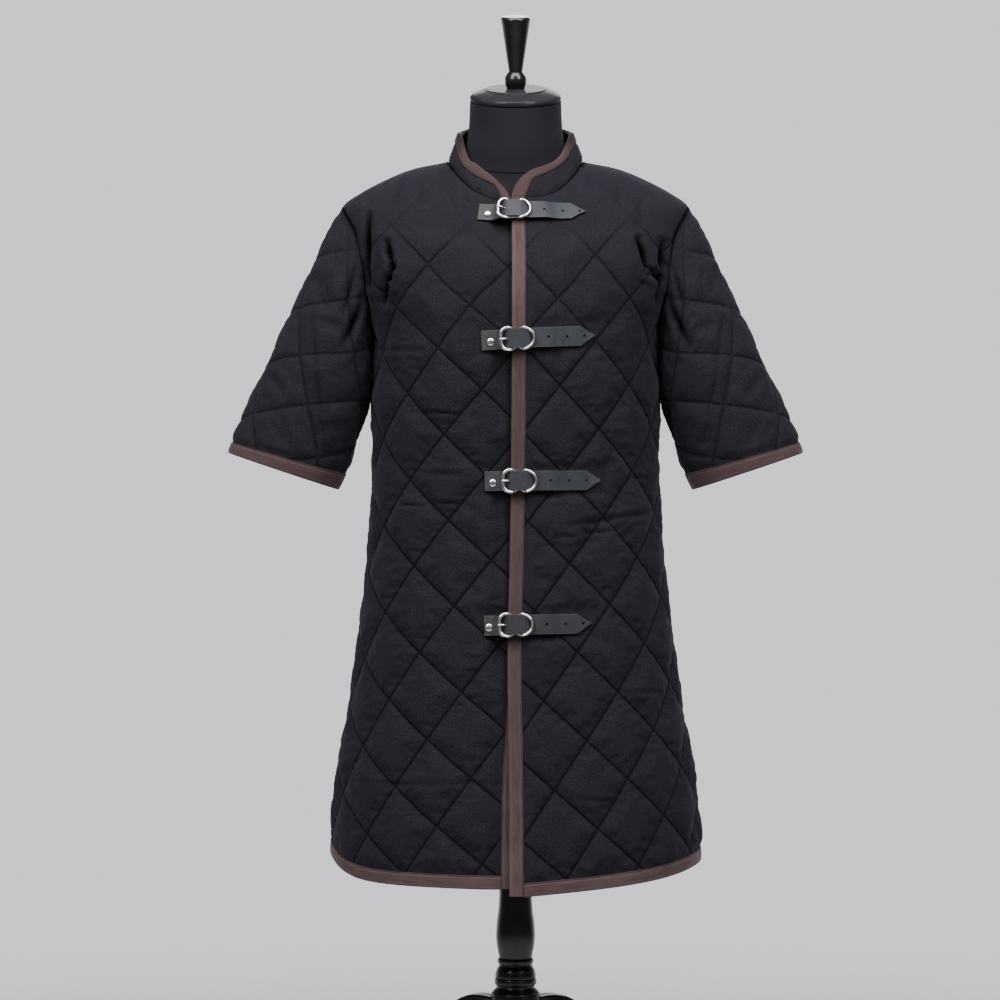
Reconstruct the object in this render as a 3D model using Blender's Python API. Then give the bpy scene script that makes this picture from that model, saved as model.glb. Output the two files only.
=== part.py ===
"""A quilted gambeson worn by a limbless dress form on a turned tripod stand.

Metres, +Z up, the front towards -Y, the wearer's left towards +X. The world origin is on the floor under the
middle of the outline, and the stand's axis stands AXIS_Y behind it. Everything is modelled about that axis and
hangs from one empty. The cloth is sewn along one closed surface, the torso: each panel is cut out of it in flat
coordinates (the arc along a ring from the centre, the level up the body) and given a padded wall.
"""

import math
from collections import namedtuple

import bpy
import bmesh
import numpy as np
from mathutils import Euler, Matrix, Vector
from mathutils.geometry import delaunay_2d_cdt

# ---------------------------------------------------------------- driving sizes
AXIS_Y = 0.047  # the stand's axis, behind the middle of the outline
GAP = 0.0003  # between two pieces that touch
WALL = 0.005  # padded cloth, measured on a stitch line
PUFF = 0.0042  # how far the middle of a quilted diamond stands above its stitch lines
COLLAR_WALL = 0.004

BAND = 0.0165  # width of the binding on each face of the cloth
BAND_WALL = 0.0011  # thickness of the binding
COLLAR_BAND = 0.0108

RISE = 0.0036  # the left front lies this much proud near its edge
SINK = 0.0058  # and the right front this much deeper, to pass under it
OVERLAP = 0.016  # arc from centre front where both come fully apart
RISE_END = 0.060
SINK_END = 0.045

NECK_LEVEL = 1.51  # flat level of the neckline seam
TIP_LEVEL = 1.355  # flat level of the shoulder tip, at the top of the armhole
UNDERARM = 1.19
YOKE_START = 1.285  # the quilting flattens out from here up to the shoulder tips
YOKE_FLAT = 0.8
UNDER_ARM = (1.045, 1.085)  # above these levels the arm presses the quilting flat beside the side seam
ARM_PRESS = (0.006, 0.045)  # between these distances from it
ARMHOLE_DEPTH = 0.062  # how far the armhole reaches in front of and behind the shoulder line

# One row for each ring of the garment, bottom to top. Heights at the side, front and back; half width; depth in
# front of and behind the axis; squareness of the outline; how the height runs from centre to side.
Ring = namedtuple("Ring", "level side_z front_z back_z half_width front back square bow")
TORSO = (
    Ring(0.430, 0.430, 0.430, 0.430, 0.2475, 0.1900, 0.1860, 2.15, 2.0),
    Ring(0.520, 0.520, 0.520, 0.520, 0.2445, 0.1850, 0.1800, 2.15, 2.0),
    Ring(0.600, 0.600, 0.600, 0.600, 0.2365, 0.1780, 0.1730, 2.15, 2.0),
    Ring(0.700, 0.700, 0.700, 0.700, 0.2190, 0.1680, 0.1640, 2.15, 2.0),
    Ring(0.800, 0.800, 0.800, 0.800, 0.2055, 0.1590, 0.1560, 2.20, 2.0),
    Ring(0.900, 0.900, 0.900, 0.900, 0.1945, 0.1510, 0.1480, 2.20, 2.0),
    Ring(1.000, 1.000, 1.000, 1.000, 0.1890, 0.1470, 0.1400, 2.20, 2.0),
    Ring(1.100, 1.100, 1.100, 1.100, 0.1880, 0.1490, 0.1380, 2.20, 2.0),
    Ring(1.190, 1.190, 1.190, 1.190, 0.1890, 0.1500, 0.1410, 2.20, 2.0),
    Ring(1.250, 1.252, 1.244, 1.248, 0.2140, 0.1430, 0.1420, 2.15, 2.0),
    Ring(1.310, 1.315, 1.286, 1.300, 0.2270, 0.1290, 0.1370, 2.10, 2.0),
    Ring(1.355, 1.356, 1.314, 1.337, 0.2300, 0.1140, 0.1270, 2.00, 2.0),
    Ring(1.385, 1.374, 1.325, 1.360, 0.2060, 0.1080, 0.1180, 2.00, 2.0),
    Ring(1.430, 1.399, 1.338, 1.388, 0.1560, 0.1010, 0.1040, 2.00, 2.2),
    Ring(1.510, 1.416, 1.359, 1.428, 0.0900, 0.0880, 0.0780, 2.00, 3.0),
)

# Sleeve rings from armhole to cuff: share of the length, the ring's outer and inner corner, and its half depth.
Cuff = namedtuple("Cuff", "share outer_x outer_z inner_x inner_z half_depth")
SLEEVE = (
    Cuff(0.00, 0.2300, 1.3555, 0.1890, 1.1900, 0.062),
    Cuff(0.18, 0.2595, 1.2980, 0.1898, 1.1520, 0.066),
    Cuff(0.34, 0.2840, 1.2440, 0.1915, 1.1160, 0.068),
    Cuff(0.56, 0.3190, 1.1700, 0.2070, 1.0780, 0.069),
    Cuff(0.77, 0.3530, 1.0970, 0.2210, 1.0400, 0.068),
    Cuff(0.89, 0.3700, 1.0600, 0.2290, 1.0090, 0.067),
    Cuff(1.00, 0.3820, 1.0290, 0.2365, 0.9800, 0.066),
)
SLEEVE_RADIUS = 0.0725  # turns the angle round a sleeve into flat width
SLEEVE_LENGTH = 0.290  # half way round; the top line is longer and the underarm shorter
SLEEVE_CAP = 0.075

# Collar: angle from centre front in degrees, height of the stand on the wearer's left and right, lean towards the
# neck in degrees. Its front ends slope down to the closing edges.
Stand = namedtuple("Stand", "degrees height_left height_right lean")
COLLAR = (
    Stand(0.0, 0.0175, 0.0125, 24.0),
    Stand(6.5, 0.0288, 0.0125, 24.0),
    Stand(12.0, 0.0346, 0.0188, 23.5),
    Stand(18.0, 0.0382, 0.0258, 23.0),
    Stand(24.0, 0.0398, 0.0287, 22.5),
    Stand(36.0, 0.0386, 0.0320, 22.0),
    Stand(49.0, 0.0348, 0.0292, 21.5),
    Stand(62.0, 0.0359, 0.0312, 21.0),
    Stand(76.0, 0.0380, 0.0370, 20.5),
    Stand(90.0, 0.0380, 0.0380, 20.0),
    Stand(180.0, 0.0380, 0.0380, 15.0),
)

# Quilting: a panel's lattice of diamonds starts at (start_x, start_z), has diamonds of one width and height, and
# turns by twist per metre below TWIST_TOP. It counts x towards the wearer's left.
TWIST_TOP = 1.30
VALLEY = 0.26  # share of a diamond's edge that the slope down to a stitch line takes
Lattice = namedtuple("Lattice", "start_x start_z twist width height lean")
QUILT_LEFT = Lattice(0.0028, 1.2852, 0.184, 0.1016, 0.1165, 0.0)
QUILT_RIGHT = Lattice(0.0058, 1.2737, 0.176, 0.1061, 0.1098, 0.016)
QUILT_BACK = Lattice(0.0, 1.2400, 0.0, 0.1080, 0.1180, 0.0)
LEAN_LEVELS = (1.10, 1.26)  # a lattice drifts sideways by its lean between these
CHEST_TOP = 1.25
CHEST_FALL = 0.72  # true length of cloth for each unit of level, at the middle, above the chest
YOKE_FALL = 0.33  # and above the shoulder tip
FALL_WIDTH = (0.08, 0.24)  # arc where this ends
SLEEVE_ROW = 0.072  # between neighbouring stitch lines on a sleeve
SLEEVE_TURN = math.radians(18.7)  # level lines on a sleeve lie across its cuff at this angle
SLEEVE_SLANT = math.radians(-60.0)
SLEEVE_PHASE = 0.1207
SLEEVE_PRESS_TURNS = (0.80, 0.55)  # the sleeve's own quilting is flat this far from its seam, above and below
SLEEVE_PRESS_SHARES = (0.35, 0.60)

# Front edges: level and arc of the panel's edge from centre front, each towards its own side seam.
Edge = namedtuple("Edge", "level arc")
EDGE_LEFT = (Edge(0.44, -0.0070), Edge(0.60, -0.0075), Edge(0.77, -0.0095), Edge(0.90, -0.0065),
             Edge(1.10, -0.0042), Edge(1.51, -0.0045))
EDGE_RIGHT = (Edge(0.44, 0.0030), Edge(0.60, 0.0015), Edge(0.77, -0.0100), Edge(0.90, -0.0110),
              Edge(1.10, -0.0120), Edge(1.51, -0.0120))

# Hem: height at the centre, height at the side seam, share of the rise that runs straight, power of the rest.
Hem = namedtuple("Hem", "centre side straight power")
HEM_LEFT = Hem(0.4580, 0.4885, 0.65, 6)
HEM_RIGHT = Hem(0.4675, 0.4985, 0.13, 12)
HEM_BACK_LEFT = Hem(0.4680, 0.4885, 0.20, 8)
HEM_BACK_RIGHT = Hem(0.4680, 0.4985, 0.20, 8)
HEM_RING = 0.48  # level whose half width sets how far out a point of the hem lies
HEM_HALF_WIDTH = 0.2455

# Largest folds of the fronts, by the armholes: panel, upper and lower end (arc, level), half width, depth.
Fold = namedtuple("Fold", "panel top_arc top_level low_arc low_level half_width depth")
FOLDS = (
    Fold("front_right", 0.182, 1.305, 0.166, 1.236, 0.011, 0.0060),
    Fold("front_left", 0.166, 1.305, 0.186, 1.245, 0.012, 0.0060),
)

# Closures, top to bottom: level of the strap's middle at centre front, its slope across the front, how it bends
# down to both sides where the chest slopes, the buckle's shift from centre front, and the strap's two ends.
Closure = namedtuple("Closure", "level slope dip shift end tip")
CLOSURES = (
    Closure(1.4310, 0.000, 3.80, 0.0000, -0.0493, 0.0930),
    Closure(1.1721, 0.053, 0.0, 0.0040, -0.0486, 0.1005),
    Closure(0.9896, 0.009, 0.0, 0.0067, -0.0470, 0.1058),
    Closure(0.8039, 0.020, 0.0, 0.0020, -0.0430, 0.0973),
)
STRAP_WIDTH = 0.0255
EDGE_CLEAR = 0.0015  # the cloth keeps this far from the edge binding before it is pressed flat
PRESS_PAST = 0.0035  # a strap presses the padding flat this far past its ends
PRESS_ASIDE = 0.0025  # and beside it
PRESS_FADE = 0.014
STRAP_WALL = 0.0022
CHAPE_WIDTH = 0.021
CHAPE_WALL = 0.0015
WIRE = 0.0015  # radius of the buckle's wire
BAR = 0.0014  # radius of its centre bar
BAR_X = -0.003
BAR_LIFT = 0.0089
RIM_LIFT = 0.0134
TONGUE = 0.0011
RIVET_X = -0.0368
# Underside of the strap along its run: distance across the front, lift off the sewing surface.
Run = namedtuple("Run", "x lift")
STRAP_RUN = (
    Run(-0.0550, 0.0004), Run(-0.0330, 0.0004), Run(-0.0225, 0.0052), Run(-0.0130, 0.0098),
    Run(-0.0060, 0.0132), Run(0.0000, 0.0132), Run(0.0060, 0.0115), Run(0.0115, 0.0092),
    Run(0.0150, 0.0082), Run(0.0190, 0.0076), Run(0.0300, 0.0071), Run(0.0400, 0.0060),
    Run(0.0500, 0.0030), Run(0.0600, 0.0011), Run(0.0720, 0.0008), Run(0.1100, 0.0008),
)
STRAP_HOLES = (0.0368, 0.0620, 0.0850)
STRAP_POINT = 0.0170  # length of the strap's pointed tip
HOLE = 0.0019  # radius
TONGUE_SLOT = (-0.0110, 0.0052, 0.0019)  # middle, half length and half width of the hole the tongue uses

# Dress form below the shoulders, bottom to top, as rings of the same kind.
FORM = (
    Ring(0.705, 0.705, 0.705, 0.705, 0.1150, 0.0800, 0.0850, 2.1, 2.0),
    Ring(0.712, 0.712, 0.712, 0.712, 0.1500, 0.1070, 0.1100, 2.1, 2.0),
    Ring(0.740, 0.740, 0.740, 0.740, 0.1690, 0.1230, 0.1260, 2.1, 2.0),
    Ring(0.820, 0.820, 0.820, 0.820, 0.1740, 0.1270, 0.1300, 2.1, 2.0),
    Ring(0.920, 0.920, 0.920, 0.920, 0.1620, 0.1210, 0.1220, 2.1, 2.0),
    Ring(1.020, 1.020, 1.020, 1.020, 0.1500, 0.1170, 0.1130, 2.1, 2.0),
    Ring(1.120, 1.120, 1.120, 1.120, 0.1580, 0.1230, 0.1170, 2.1, 2.0),
    Ring(1.200, 1.200, 1.200, 1.200, 0.1690, 0.1270, 0.1220, 2.1, 2.0),
    Ring(1.260, 1.262, 1.246, 1.252, 0.1760, 0.1220, 0.1230, 2.1, 2.0),
    Ring(1.320, 1.322, 1.283, 1.298, 0.1790, 0.1120, 0.1180, 2.0, 2.0),
    Ring(1.350, 1.352, 1.298, 1.324, 0.1760, 0.0980, 0.1110, 2.0, 2.0),
)
FORM_LEVELS = (0.705, 0.712, 0.74, 0.82, 0.92, 1.02, 1.11, 1.20, 1.26, 1.31, 1.35)
FORM_SEAT = 0.0079  # from the cloth's sewing surface to the form on the shoulders
FORM_SEAT_LEVELS = (1.415, 1.430, 1.450, 1.470, 1.490)
NECK = (
    Ring(1.0, 1.4140, 1.3700, 1.4270, 0.0725, 0.0670, 0.0640, 2.0, 2.0),
    Ring(2.0, 1.4240, 1.3950, 1.4360, 0.0665, 0.0650, 0.0575, 2.0, 2.0),
    Ring(3.0, 1.4400, 1.4200, 1.4480, 0.0650, 0.0680, 0.0550, 2.0, 2.0),
    Ring(4.0, 1.4620, 1.4480, 1.4720, 0.0622, 0.0710, 0.0500, 2.0, 2.0),
)
NECK_TOP_RADIUS = 0.0605
CAP_Y = -0.0150  # middle of the neck's top
CAP_Z = 1.4952
NECK_TILT = math.radians(16)

POLE_TOP = 0.7047
# Turned pole, bottom to top: height, radius.
Turn = namedtuple("Turn", "z radius")
POLE = (
    Turn(0.205, 0.0200), Turn(0.215, 0.0290), Turn(0.235, 0.0335), Turn(0.300, 0.0335), Turn(0.315, 0.0290),
    Turn(0.3225, 0.0215), Turn(0.3260, 0.0270), Turn(0.3310, 0.0270), Turn(0.3340, 0.0225), Turn(0.3405, 0.0264),
    Turn(0.3470, 0.0205), Turn(0.3500, 0.0238), Turn(0.3540, 0.0238), Turn(0.3570, 0.0215),
    Turn(0.3720, 0.0250), Turn(0.3860, 0.0262), Turn(0.4020, 0.0250), Turn(0.4400, 0.0217),
    Turn(POLE_TOP, 0.0215),
)
# Domed cap with a raised disc, up from the neck's top.
CAP = (
    Turn(GAP, 0.0588), Turn(0.0026, 0.0603), Turn(0.0058, 0.0605), Turn(0.0086, 0.0586), Turn(0.0112, 0.0540),
    Turn(0.0140, 0.0470), Turn(0.0158, 0.0412), Turn(0.0170, 0.0396),
)
# Finial, up from the disc: a round knob under a tapering stem.
FINIAL = (
    Turn(0.0000, 0.0122), Turn(0.0045, 0.0134), Turn(0.0106, 0.0145), Turn(0.0165, 0.0130), Turn(0.0200, 0.0104),
    Turn(0.0218, 0.0092), Turn(0.0907, 0.0194), Turn(0.0932, 0.0190), Turn(0.0950, 0.0160),
)
# Leg: distance out from the axis, height of its middle, half height across the leg, half thickness.
Leg = namedtuple("Leg", "out z half_height half_width")
LEGS = (
    Leg(0.0338, 0.268, 0.034, 0.015),
    Leg(0.0620, 0.270, 0.032, 0.016),
    Leg(0.0920, 0.252, 0.028, 0.016),
    Leg(0.1200, 0.215, 0.025, 0.015),
    Leg(0.1430, 0.165, 0.021, 0.014),
    Leg(0.1650, 0.112, 0.018, 0.013),
    Leg(0.1950, 0.064, 0.015, 0.013),
    Leg(0.2300, 0.034, 0.013, 0.014),
    Leg(0.2600, 0.020, 0.012, 0.018),
)
LEG_TURNS = (0.0, 120.0, 240.0)
LEG_NAMES = ("leg_front", "leg_left", "leg_right")
FOOT_RADIUS = 0.023
FOOT_OUT = 0.262

# Colours: base colour, roughness, metallic.
CLOTH = ((0.018, 0.018, 0.023), 0.85, 0.0)
TAPE = ((0.120, 0.066, 0.055), 0.80, 0.0)
LEATHER = ((0.030, 0.034, 0.040), 0.50, 0.0)
NICKEL = ((0.750, 0.720, 0.680), 0.25, 1.0)
JERSEY = ((0.020, 0.020, 0.022), 0.80, 0.0)
LACQUER = ((0.008, 0.008, 0.009), 0.12, 0.0)


# ---------------------------------------------------------------- small helpers
def column(rows, name, at):
    """One named column of a table, read at the given places along its first column on a smooth curve."""
    knots = np.array([row[0] for row in rows], float)
    values = np.array([getattr(row, name) for row in rows], float)
    slopes = np.gradient(values, knots)
    place = np.clip(np.asarray(at, float), knots[0], knots[-1])
    left = np.clip(np.searchsorted(knots, place) - 1, 0, len(knots) - 2)
    width = knots[left + 1] - knots[left]
    t = (place - knots[left]) / width
    return (
        (2 * t**3 - 3 * t**2 + 1) * values[left]
        + (t**3 - 2 * t**2 + t) * width * slopes[left]
        + (3 * t**2 - 2 * t**3) * values[left + 1]
        + (t**3 - t**2) * width * slopes[left + 1]
    )


def smooth_step(value, low, high):
    t = np.clip((np.asarray(value, float) - low) / (high - low), 0.0, 1.0)
    return t * t * (3 - 2 * t)


def unit(vectors):
    return vectors / np.maximum(np.linalg.norm(vectors, axis=-1, keepdims=True), 1e-12)


def distance_to_line(points, line):
    """Distance of each flat point to a broken line."""
    start, end = line[:-1], line[1:]
    along = end - start
    share = np.einsum("pkc,kc->pk", points[:, None] - start[None], along)
    share = np.clip(share / np.maximum((along**2).sum(1), 1e-12), 0, 1)
    near = start[None] + share[..., None] * along[None]
    return np.linalg.norm(points[:, None] - near, axis=2).min(1)


def inside_loop(points, loop):
    """True for the flat points that lie inside the closed loop."""
    x, y = points[:, 0:1], points[:, 1:2]
    nxt = np.roll(loop, -1, axis=0)
    crosses = (loop[None, :, 1] > y) != (nxt[None, :, 1] > y)
    rise = np.where(np.abs(nxt[:, 1] - loop[:, 1]) < 1e-12, 1e-12, nxt[:, 1] - loop[:, 1])
    at = loop[:, 0] + (y - loop[None, :, 1]) * (nxt[:, 0] - loop[:, 0]) / rise
    return (crosses & (x < at)).sum(1) % 2 == 1


def material(name, look):
    colour, roughness, metallic = look
    made = bpy.data.materials.new(name)
    made.use_nodes = True
    shader = made.node_tree.nodes["Principled BSDF"]
    shader.inputs["Base Color"].default_value = (*colour, 1.0)
    shader.inputs["Roughness"].default_value = roughness
    shader.inputs["Metallic"].default_value = metallic
    return made


def solid(name, points, faces, look, smooth_angle=35.0):
    """One closed object about the stand's axis, its faces turned outwards."""
    mesh = bpy.data.meshes.new(name)
    mesh.from_pydata([tuple(p) for p in points], [], faces)
    work = bmesh.new()
    work.from_mesh(mesh)
    bmesh.ops.remove_doubles(work, verts=work.verts, dist=1e-6)
    bmesh.ops.recalc_face_normals(work, faces=work.faces)
    bmesh.ops.triangulate(work, faces=[f for f in work.faces if len(f.verts) > 3])
    work.to_mesh(mesh)
    work.free()
    mesh.shade_smooth()
    mesh.set_sharp_from_angle(angle=math.radians(smooth_angle))
    mesh.materials.append(material(name, look))
    made = bpy.data.objects.new(name, mesh)
    bpy.context.collection.objects.link(made)
    made.parent = stand_axis
    return made


def loft(name, rings, look, smooth_angle=35.0):
    """A closed solid through rings of equal count, each end closed by a fan on its middle."""
    rings = np.asarray(rings, float)
    rows, around = rings.shape[:2]
    points = list(rings.reshape(-1, 3)) + [rings[0].mean(0), rings[-1].mean(0)]
    faces = []
    for row in range(rows - 1):
        for k in range(around):
            n = (k + 1) % around
            a, b = row * around, (row + 1) * around
            faces.append((a + k, a + n, b + n, b + k))
    low, high = rows * around, rows * around + 1
    for k in range(around):
        n = (k + 1) % around
        faces.append((n, k, low))
        faces.append(((rows - 1) * around + k, (rows - 1) * around + n, high))
    return solid(name, points, faces, look, smooth_angle)


# ---------------------------------------------------------------- the torso surface
ANGLES = np.linspace(0.0, math.pi, 121)


def ring_point(rows, angle, level):
    """Point of a table of rings: angle 0 at centre front, growing towards the wearer's left."""
    angle, level = np.broadcast_arrays(np.asarray(angle, float), np.asarray(level, float))
    sine, cosine = np.sin(angle), np.cos(angle)
    ahead = cosine > 0
    power = 2.0 / column(rows, "square", level)
    depth = np.where(ahead, -column(rows, "front", level), column(rows, "back", level))
    middle_z = np.where(ahead, column(rows, "front_z", level), column(rows, "back_z", level))
    side_z = column(rows, "side_z", level)
    x = column(rows, "half_width", level) * np.sign(sine) * np.abs(sine) ** power
    y = depth * np.abs(cosine) ** power
    z = middle_z + (side_z - middle_z) * np.abs(sine) ** column(rows, "bow", level)
    return np.stack([x, y, z], -1)


def torso_point(angle, level):
    return ring_point(TORSO, angle, level)


def torso_normal(angle, level):
    step = 1e-3
    level = np.clip(level, TORSO[0].level + step, NECK_LEVEL - step)
    across = torso_point(angle + step, level) - torso_point(angle - step, level)
    up = torso_point(angle, level + step) - torso_point(angle, level - step)
    return unit(np.cross(across, up))


def ring_arcs(level):
    """Arc from centre front to each of ANGLES, one row for each level."""
    level = np.atleast_1d(level)
    ring = torso_point(ANGLES[None, :], level[:, None])
    steps = np.linalg.norm(np.diff(ring, axis=1), axis=2)
    return np.concatenate([np.zeros((len(level), 1)), np.cumsum(steps, axis=1)], axis=1)


def angle_at(arc, level, from_back=False):
    """Angle of the point that lies arc from centre front, or from centre back."""
    arcs = ring_arcs(level)
    reach = np.abs(arc)
    if from_back:
        reach = arcs[:, -1] - reach
    angle = np.array([np.interp(r, row, ANGLES) for r, row in zip(reach, arcs)])
    return np.where(np.asarray(arc) < 0, -angle, angle)


def arc_at(angle, level, from_back=False):
    arcs = ring_arcs(level)
    arc = np.array([np.interp(a, ANGLES, row) for a, row in zip(np.broadcast_to(angle, (len(arcs),)), arcs)])
    return arcs[:, -1] - arc if from_back else arc


def armhole(turn):
    """Angle and level of the armhole seam: turn 0 at the shoulder tip, a right angle in front, pi at the underarm."""
    middle = (TIP_LEVEL + UNDERARM) / 2
    level = middle + (TIP_LEVEL - UNDERARM) / 2 * np.cos(turn)
    aside = ARMHOLE_DEPTH * np.abs(np.sin(turn))
    ahead = np.sin(turn) > 0
    depth = np.where(ahead, column(TORSO, "front", level), column(TORSO, "back", level))
    angle = np.arccos(np.clip((aside / depth) ** (column(TORSO, "square", level) / 2), 0, 1))
    return np.where(ahead, angle, math.pi - angle), level


def hem_level(hem, share):
    """Height of the hem where |x| is share of the half width."""
    rise = hem.side - hem.centre
    return hem.centre + rise * (hem.straight * share + (1 - hem.straight) * share**hem.power)


# ---------------------------------------------------------------- quilting
def drape_level(x, level):
    """Length of cloth up to a level. Towards the neck the levels lie closer together in the middle."""
    middle = np.minimum(level, CHEST_TOP) + CHEST_FALL * np.clip(level - CHEST_TOP, 0, TIP_LEVEL - CHEST_TOP)
    middle = middle + YOKE_FALL * np.maximum(level - TIP_LEVEL, 0)
    return middle + (level - middle) * smooth_step(np.abs(x), *FALL_WIDTH)


def flat_to_lattice(lattice, x, level):
    """Lattice place, counted in diamonds up and across, of a flat place (signed arc, level)."""
    height = drape_level(x, level)
    drop = np.maximum(TWIST_TOP - height, 0.0)
    turn = lattice.twist * drop
    lean = lattice.lean * smooth_step(level, *LEAN_LEVELS)
    col = (x + lean - lattice.start_x - turn * drop / 2) / lattice.width
    row = (height - lattice.start_z - turn * x) / lattice.height
    return row, col


def lattice_to_flat(lattice, row, col):
    x = lattice.start_x + lattice.width * col
    level = lattice.start_z + lattice.height * row
    for _ in range(30):
        row_here, col_here = flat_to_lattice(lattice, x, level)
        x = x + lattice.width * (col - col_here)
        level = level + lattice.height * (row - row_here)
    return np.stack([x, level], -1)


def stitch_profile(line):
    """0 on a stitch line (a whole number), rising to 1 within VALLEY of it."""
    away = np.abs(line - np.round(line)) / VALLEY
    return 1 - (1 - np.clip(away, 0, 1)) ** 2


def lattice_points(lattice, low, high, offsets):
    """Flat points at the given offsets inside every diamond that may touch the box low to high."""
    corners = np.array([(x, z) for x in (low[0], high[0]) for z in (low[1], high[1])])
    row, col = flat_to_lattice(lattice, corners[:, 0], corners[:, 1])
    reach = int(np.ceil(np.abs(np.concatenate([row, col])).max())) * 2 + 3
    steps = np.array([whole + part for whole in range(-reach, reach) for part in offsets])
    first, second = [grid.ravel() for grid in np.meshgrid(steps, steps)]
    points = lattice_to_flat(lattice, (first + second) / 2, (first - second) / 2)
    keep = (points > np.array(low)).all(1) & (points < np.array(high)).all(1)
    return points[keep]


# ---------------------------------------------------------------- panels
Panel = namedtuple("Panel", "name side back lattice")
FRONT_LEFT = Panel("front_left", 1, False, QUILT_LEFT)
FRONT_RIGHT = Panel("front_right", -1, False, QUILT_RIGHT)
BACK = Panel("back", 1, True, QUILT_BACK)


def edge_shift(panel, flat):
    """The overlap at centre front: the left front rises and the right front dips, both near their edges."""
    if panel.back:
        return np.zeros(len(flat))
    if panel.side > 0:
        return RISE * (1 - smooth_step(flat[:, 0], OVERLAP, RISE_END))
    return -SINK * (1 - smooth_step(flat[:, 0], OVERLAP, SINK_END))


def fold_shift(panel, flat):
    shift = np.zeros(len(flat))
    for fold in FOLDS:
        if fold.panel == panel.name:
            top = np.array([fold.top_arc, fold.top_level])
            low = np.array([fold.low_arc, fold.low_level])
            away = distance_to_line(flat, np.array([top, low]))
            shift -= fold.depth * np.exp(-((away / fold.half_width) ** 2))
    return shift


def cloth_place(panel, flat, lift):
    """World place of a panel's flat points, moved out of the sewing surface by lift."""
    flat = np.asarray(flat, float)
    angle = angle_at(flat[:, 0], flat[:, 1], panel.back)
    out = torso_normal(angle, flat[:, 1])
    move = lift + edge_shift(panel, flat) + fold_shift(panel, flat)
    points = torso_point(angle, flat[:, 1]) + out * np.broadcast_to(move, (len(flat),))[:, None]
    points[:, 0] *= panel.side
    return points


def closure_level(closure, x):
    return closure.level + closure.slope * x - closure.dip * x**2


def closure_stretch(closure, x):
    """True distance up the cloth for each unit of level, along a strap."""
    step = 1e-3
    level = closure_level(closure, x)
    angle = angle_at(x, level)
    rise = torso_point(angle, level + step) - torso_point(angle, level - step)
    return np.linalg.norm(rise, axis=-1) / (2 * step)


def press(panel, flat):
    """0 under a closure, 1 away from it: a strap presses the padding flat."""
    if panel.back:
        return np.ones(len(flat))
    x = flat[:, 0] * panel.side
    free = np.ones(len(flat))
    for closure in CLOSURES:
        start, stop = closure.shift + closure.end - PRESS_PAST, closure.shift + closure.tip + PRESS_PAST
        reach = np.clip(x, start, stop)
        aside = np.abs(flat[:, 1] - closure_level(closure, reach)) * closure_stretch(closure, reach)
        away = np.maximum(aside - STRAP_WIDTH / 2 - PRESS_ASIDE, np.maximum(start - x, x - stop))
        free = np.minimum(free, smooth_step(away, 0.0, PRESS_FADE))
    return free


def quilt(panel, flat, seams, bound):
    """Height of the outer face over the sewing surface."""
    row, col = flat_to_lattice(panel.lattice, flat[:, 0] * panel.side, flat[:, 1])
    height = PUFF * stitch_profile(row + col) * stitch_profile(row - col)
    height *= smooth_step(distance_to_line(flat, seams), 0.0, 0.012)
    height *= smooth_step(distance_to_line(flat, bound), BAND + 0.001, BAND + 0.014)
    height *= 1 - YOKE_FLAT * smooth_step(flat[:, 1], YOKE_START, TIP_LEVEL)
    from_side = arc_at(np.full(len(flat), math.pi / 2), flat[:, 1], panel.back) - np.abs(flat[:, 0])
    under_arm = smooth_step(flat[:, 1], *UNDER_ARM) * (1 - smooth_step(from_side, *ARM_PRESS))
    return height * (1 - under_arm) * press(panel, flat)


def triangles(flat, edges, loop, holes=()):
    """Triangles over flat points that keep the given edges, inside the loop and outside the holes."""
    made = delaunay_2d_cdt([Vector(p) for p in flat], edges, [], 1, 1e-7, True)
    source = [origin[0] for origin in made[3]]
    faces = np.array([[source[k] for k in face] for face in made[2]])
    middles = flat[faces].mean(1)
    keep = inside_loop(middles, loop)
    for hole in holes:
        keep &= ~inside_loop(middles, hole)
    return [tuple(face) for face in faces[keep].tolist()]


def cloth_solid(name, loop, outer_flat, inner_flat, chains, outer, inner, look, open_edges=()):
    """Padded wall: outer and inner face over one outline, joined by a rim except along open_edges."""
    count, shift = len(loop), len(outer_flat)
    rim = [(i, (i + 1) % count) for i in range(count)]
    faces = triangles(outer_flat, rim + list(chains), loop)
    faces += [tuple(shift + k for k in reversed(face)) for face in triangles(inner_flat, rim + list(chains), loop)]
    for i in range(count):
        if i not in open_edges:
            j = (i + 1) % count
            faces.append((j, i, shift + i, shift + j))
    return solid(name, np.vstack([outer, inner]), faces, look)


def spaced(start, end, step):
    """Evenly spaced places from start to end, about step apart."""
    count = max(1, round(abs(end - start) / step))
    return np.linspace(start, end, count + 1)


SEAM_STEP = 0.038
HEM_STEP = 0.030
EDGE_STEP = 0.042
ARMHOLE_TURNS = np.linspace(0.0, math.pi, 13)
NECK_ANGLES = np.radians([0, 12, 24, 36, 49, 62, 76, 90, 104, 118, 133, 148, 164, 180])


def side_levels(hem, band):
    """Levels of the side seam's points, bottom to top; the second is the binding's inner row."""
    return np.concatenate([[hem.side, hem.side + band], spaced(hem.side + band, UNDERARM, SEAM_STEP)[1:]])


SHOULDER_LEVELS = spaced(TIP_LEVEL, NECK_LEVEL, 0.018)


def hem_share(arcs, from_back):
    """How far out each arc lies at the hem, as a share of the half width. The last is the side seam."""
    at = np.full(len(arcs), HEM_RING)
    share = np.clip(np.abs(torso_point(angle_at(arcs, at, from_back), at)[:, 0]) / HEM_HALF_WIDTH, 0, 1)
    share[-1] = 1.0
    return share


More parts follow.
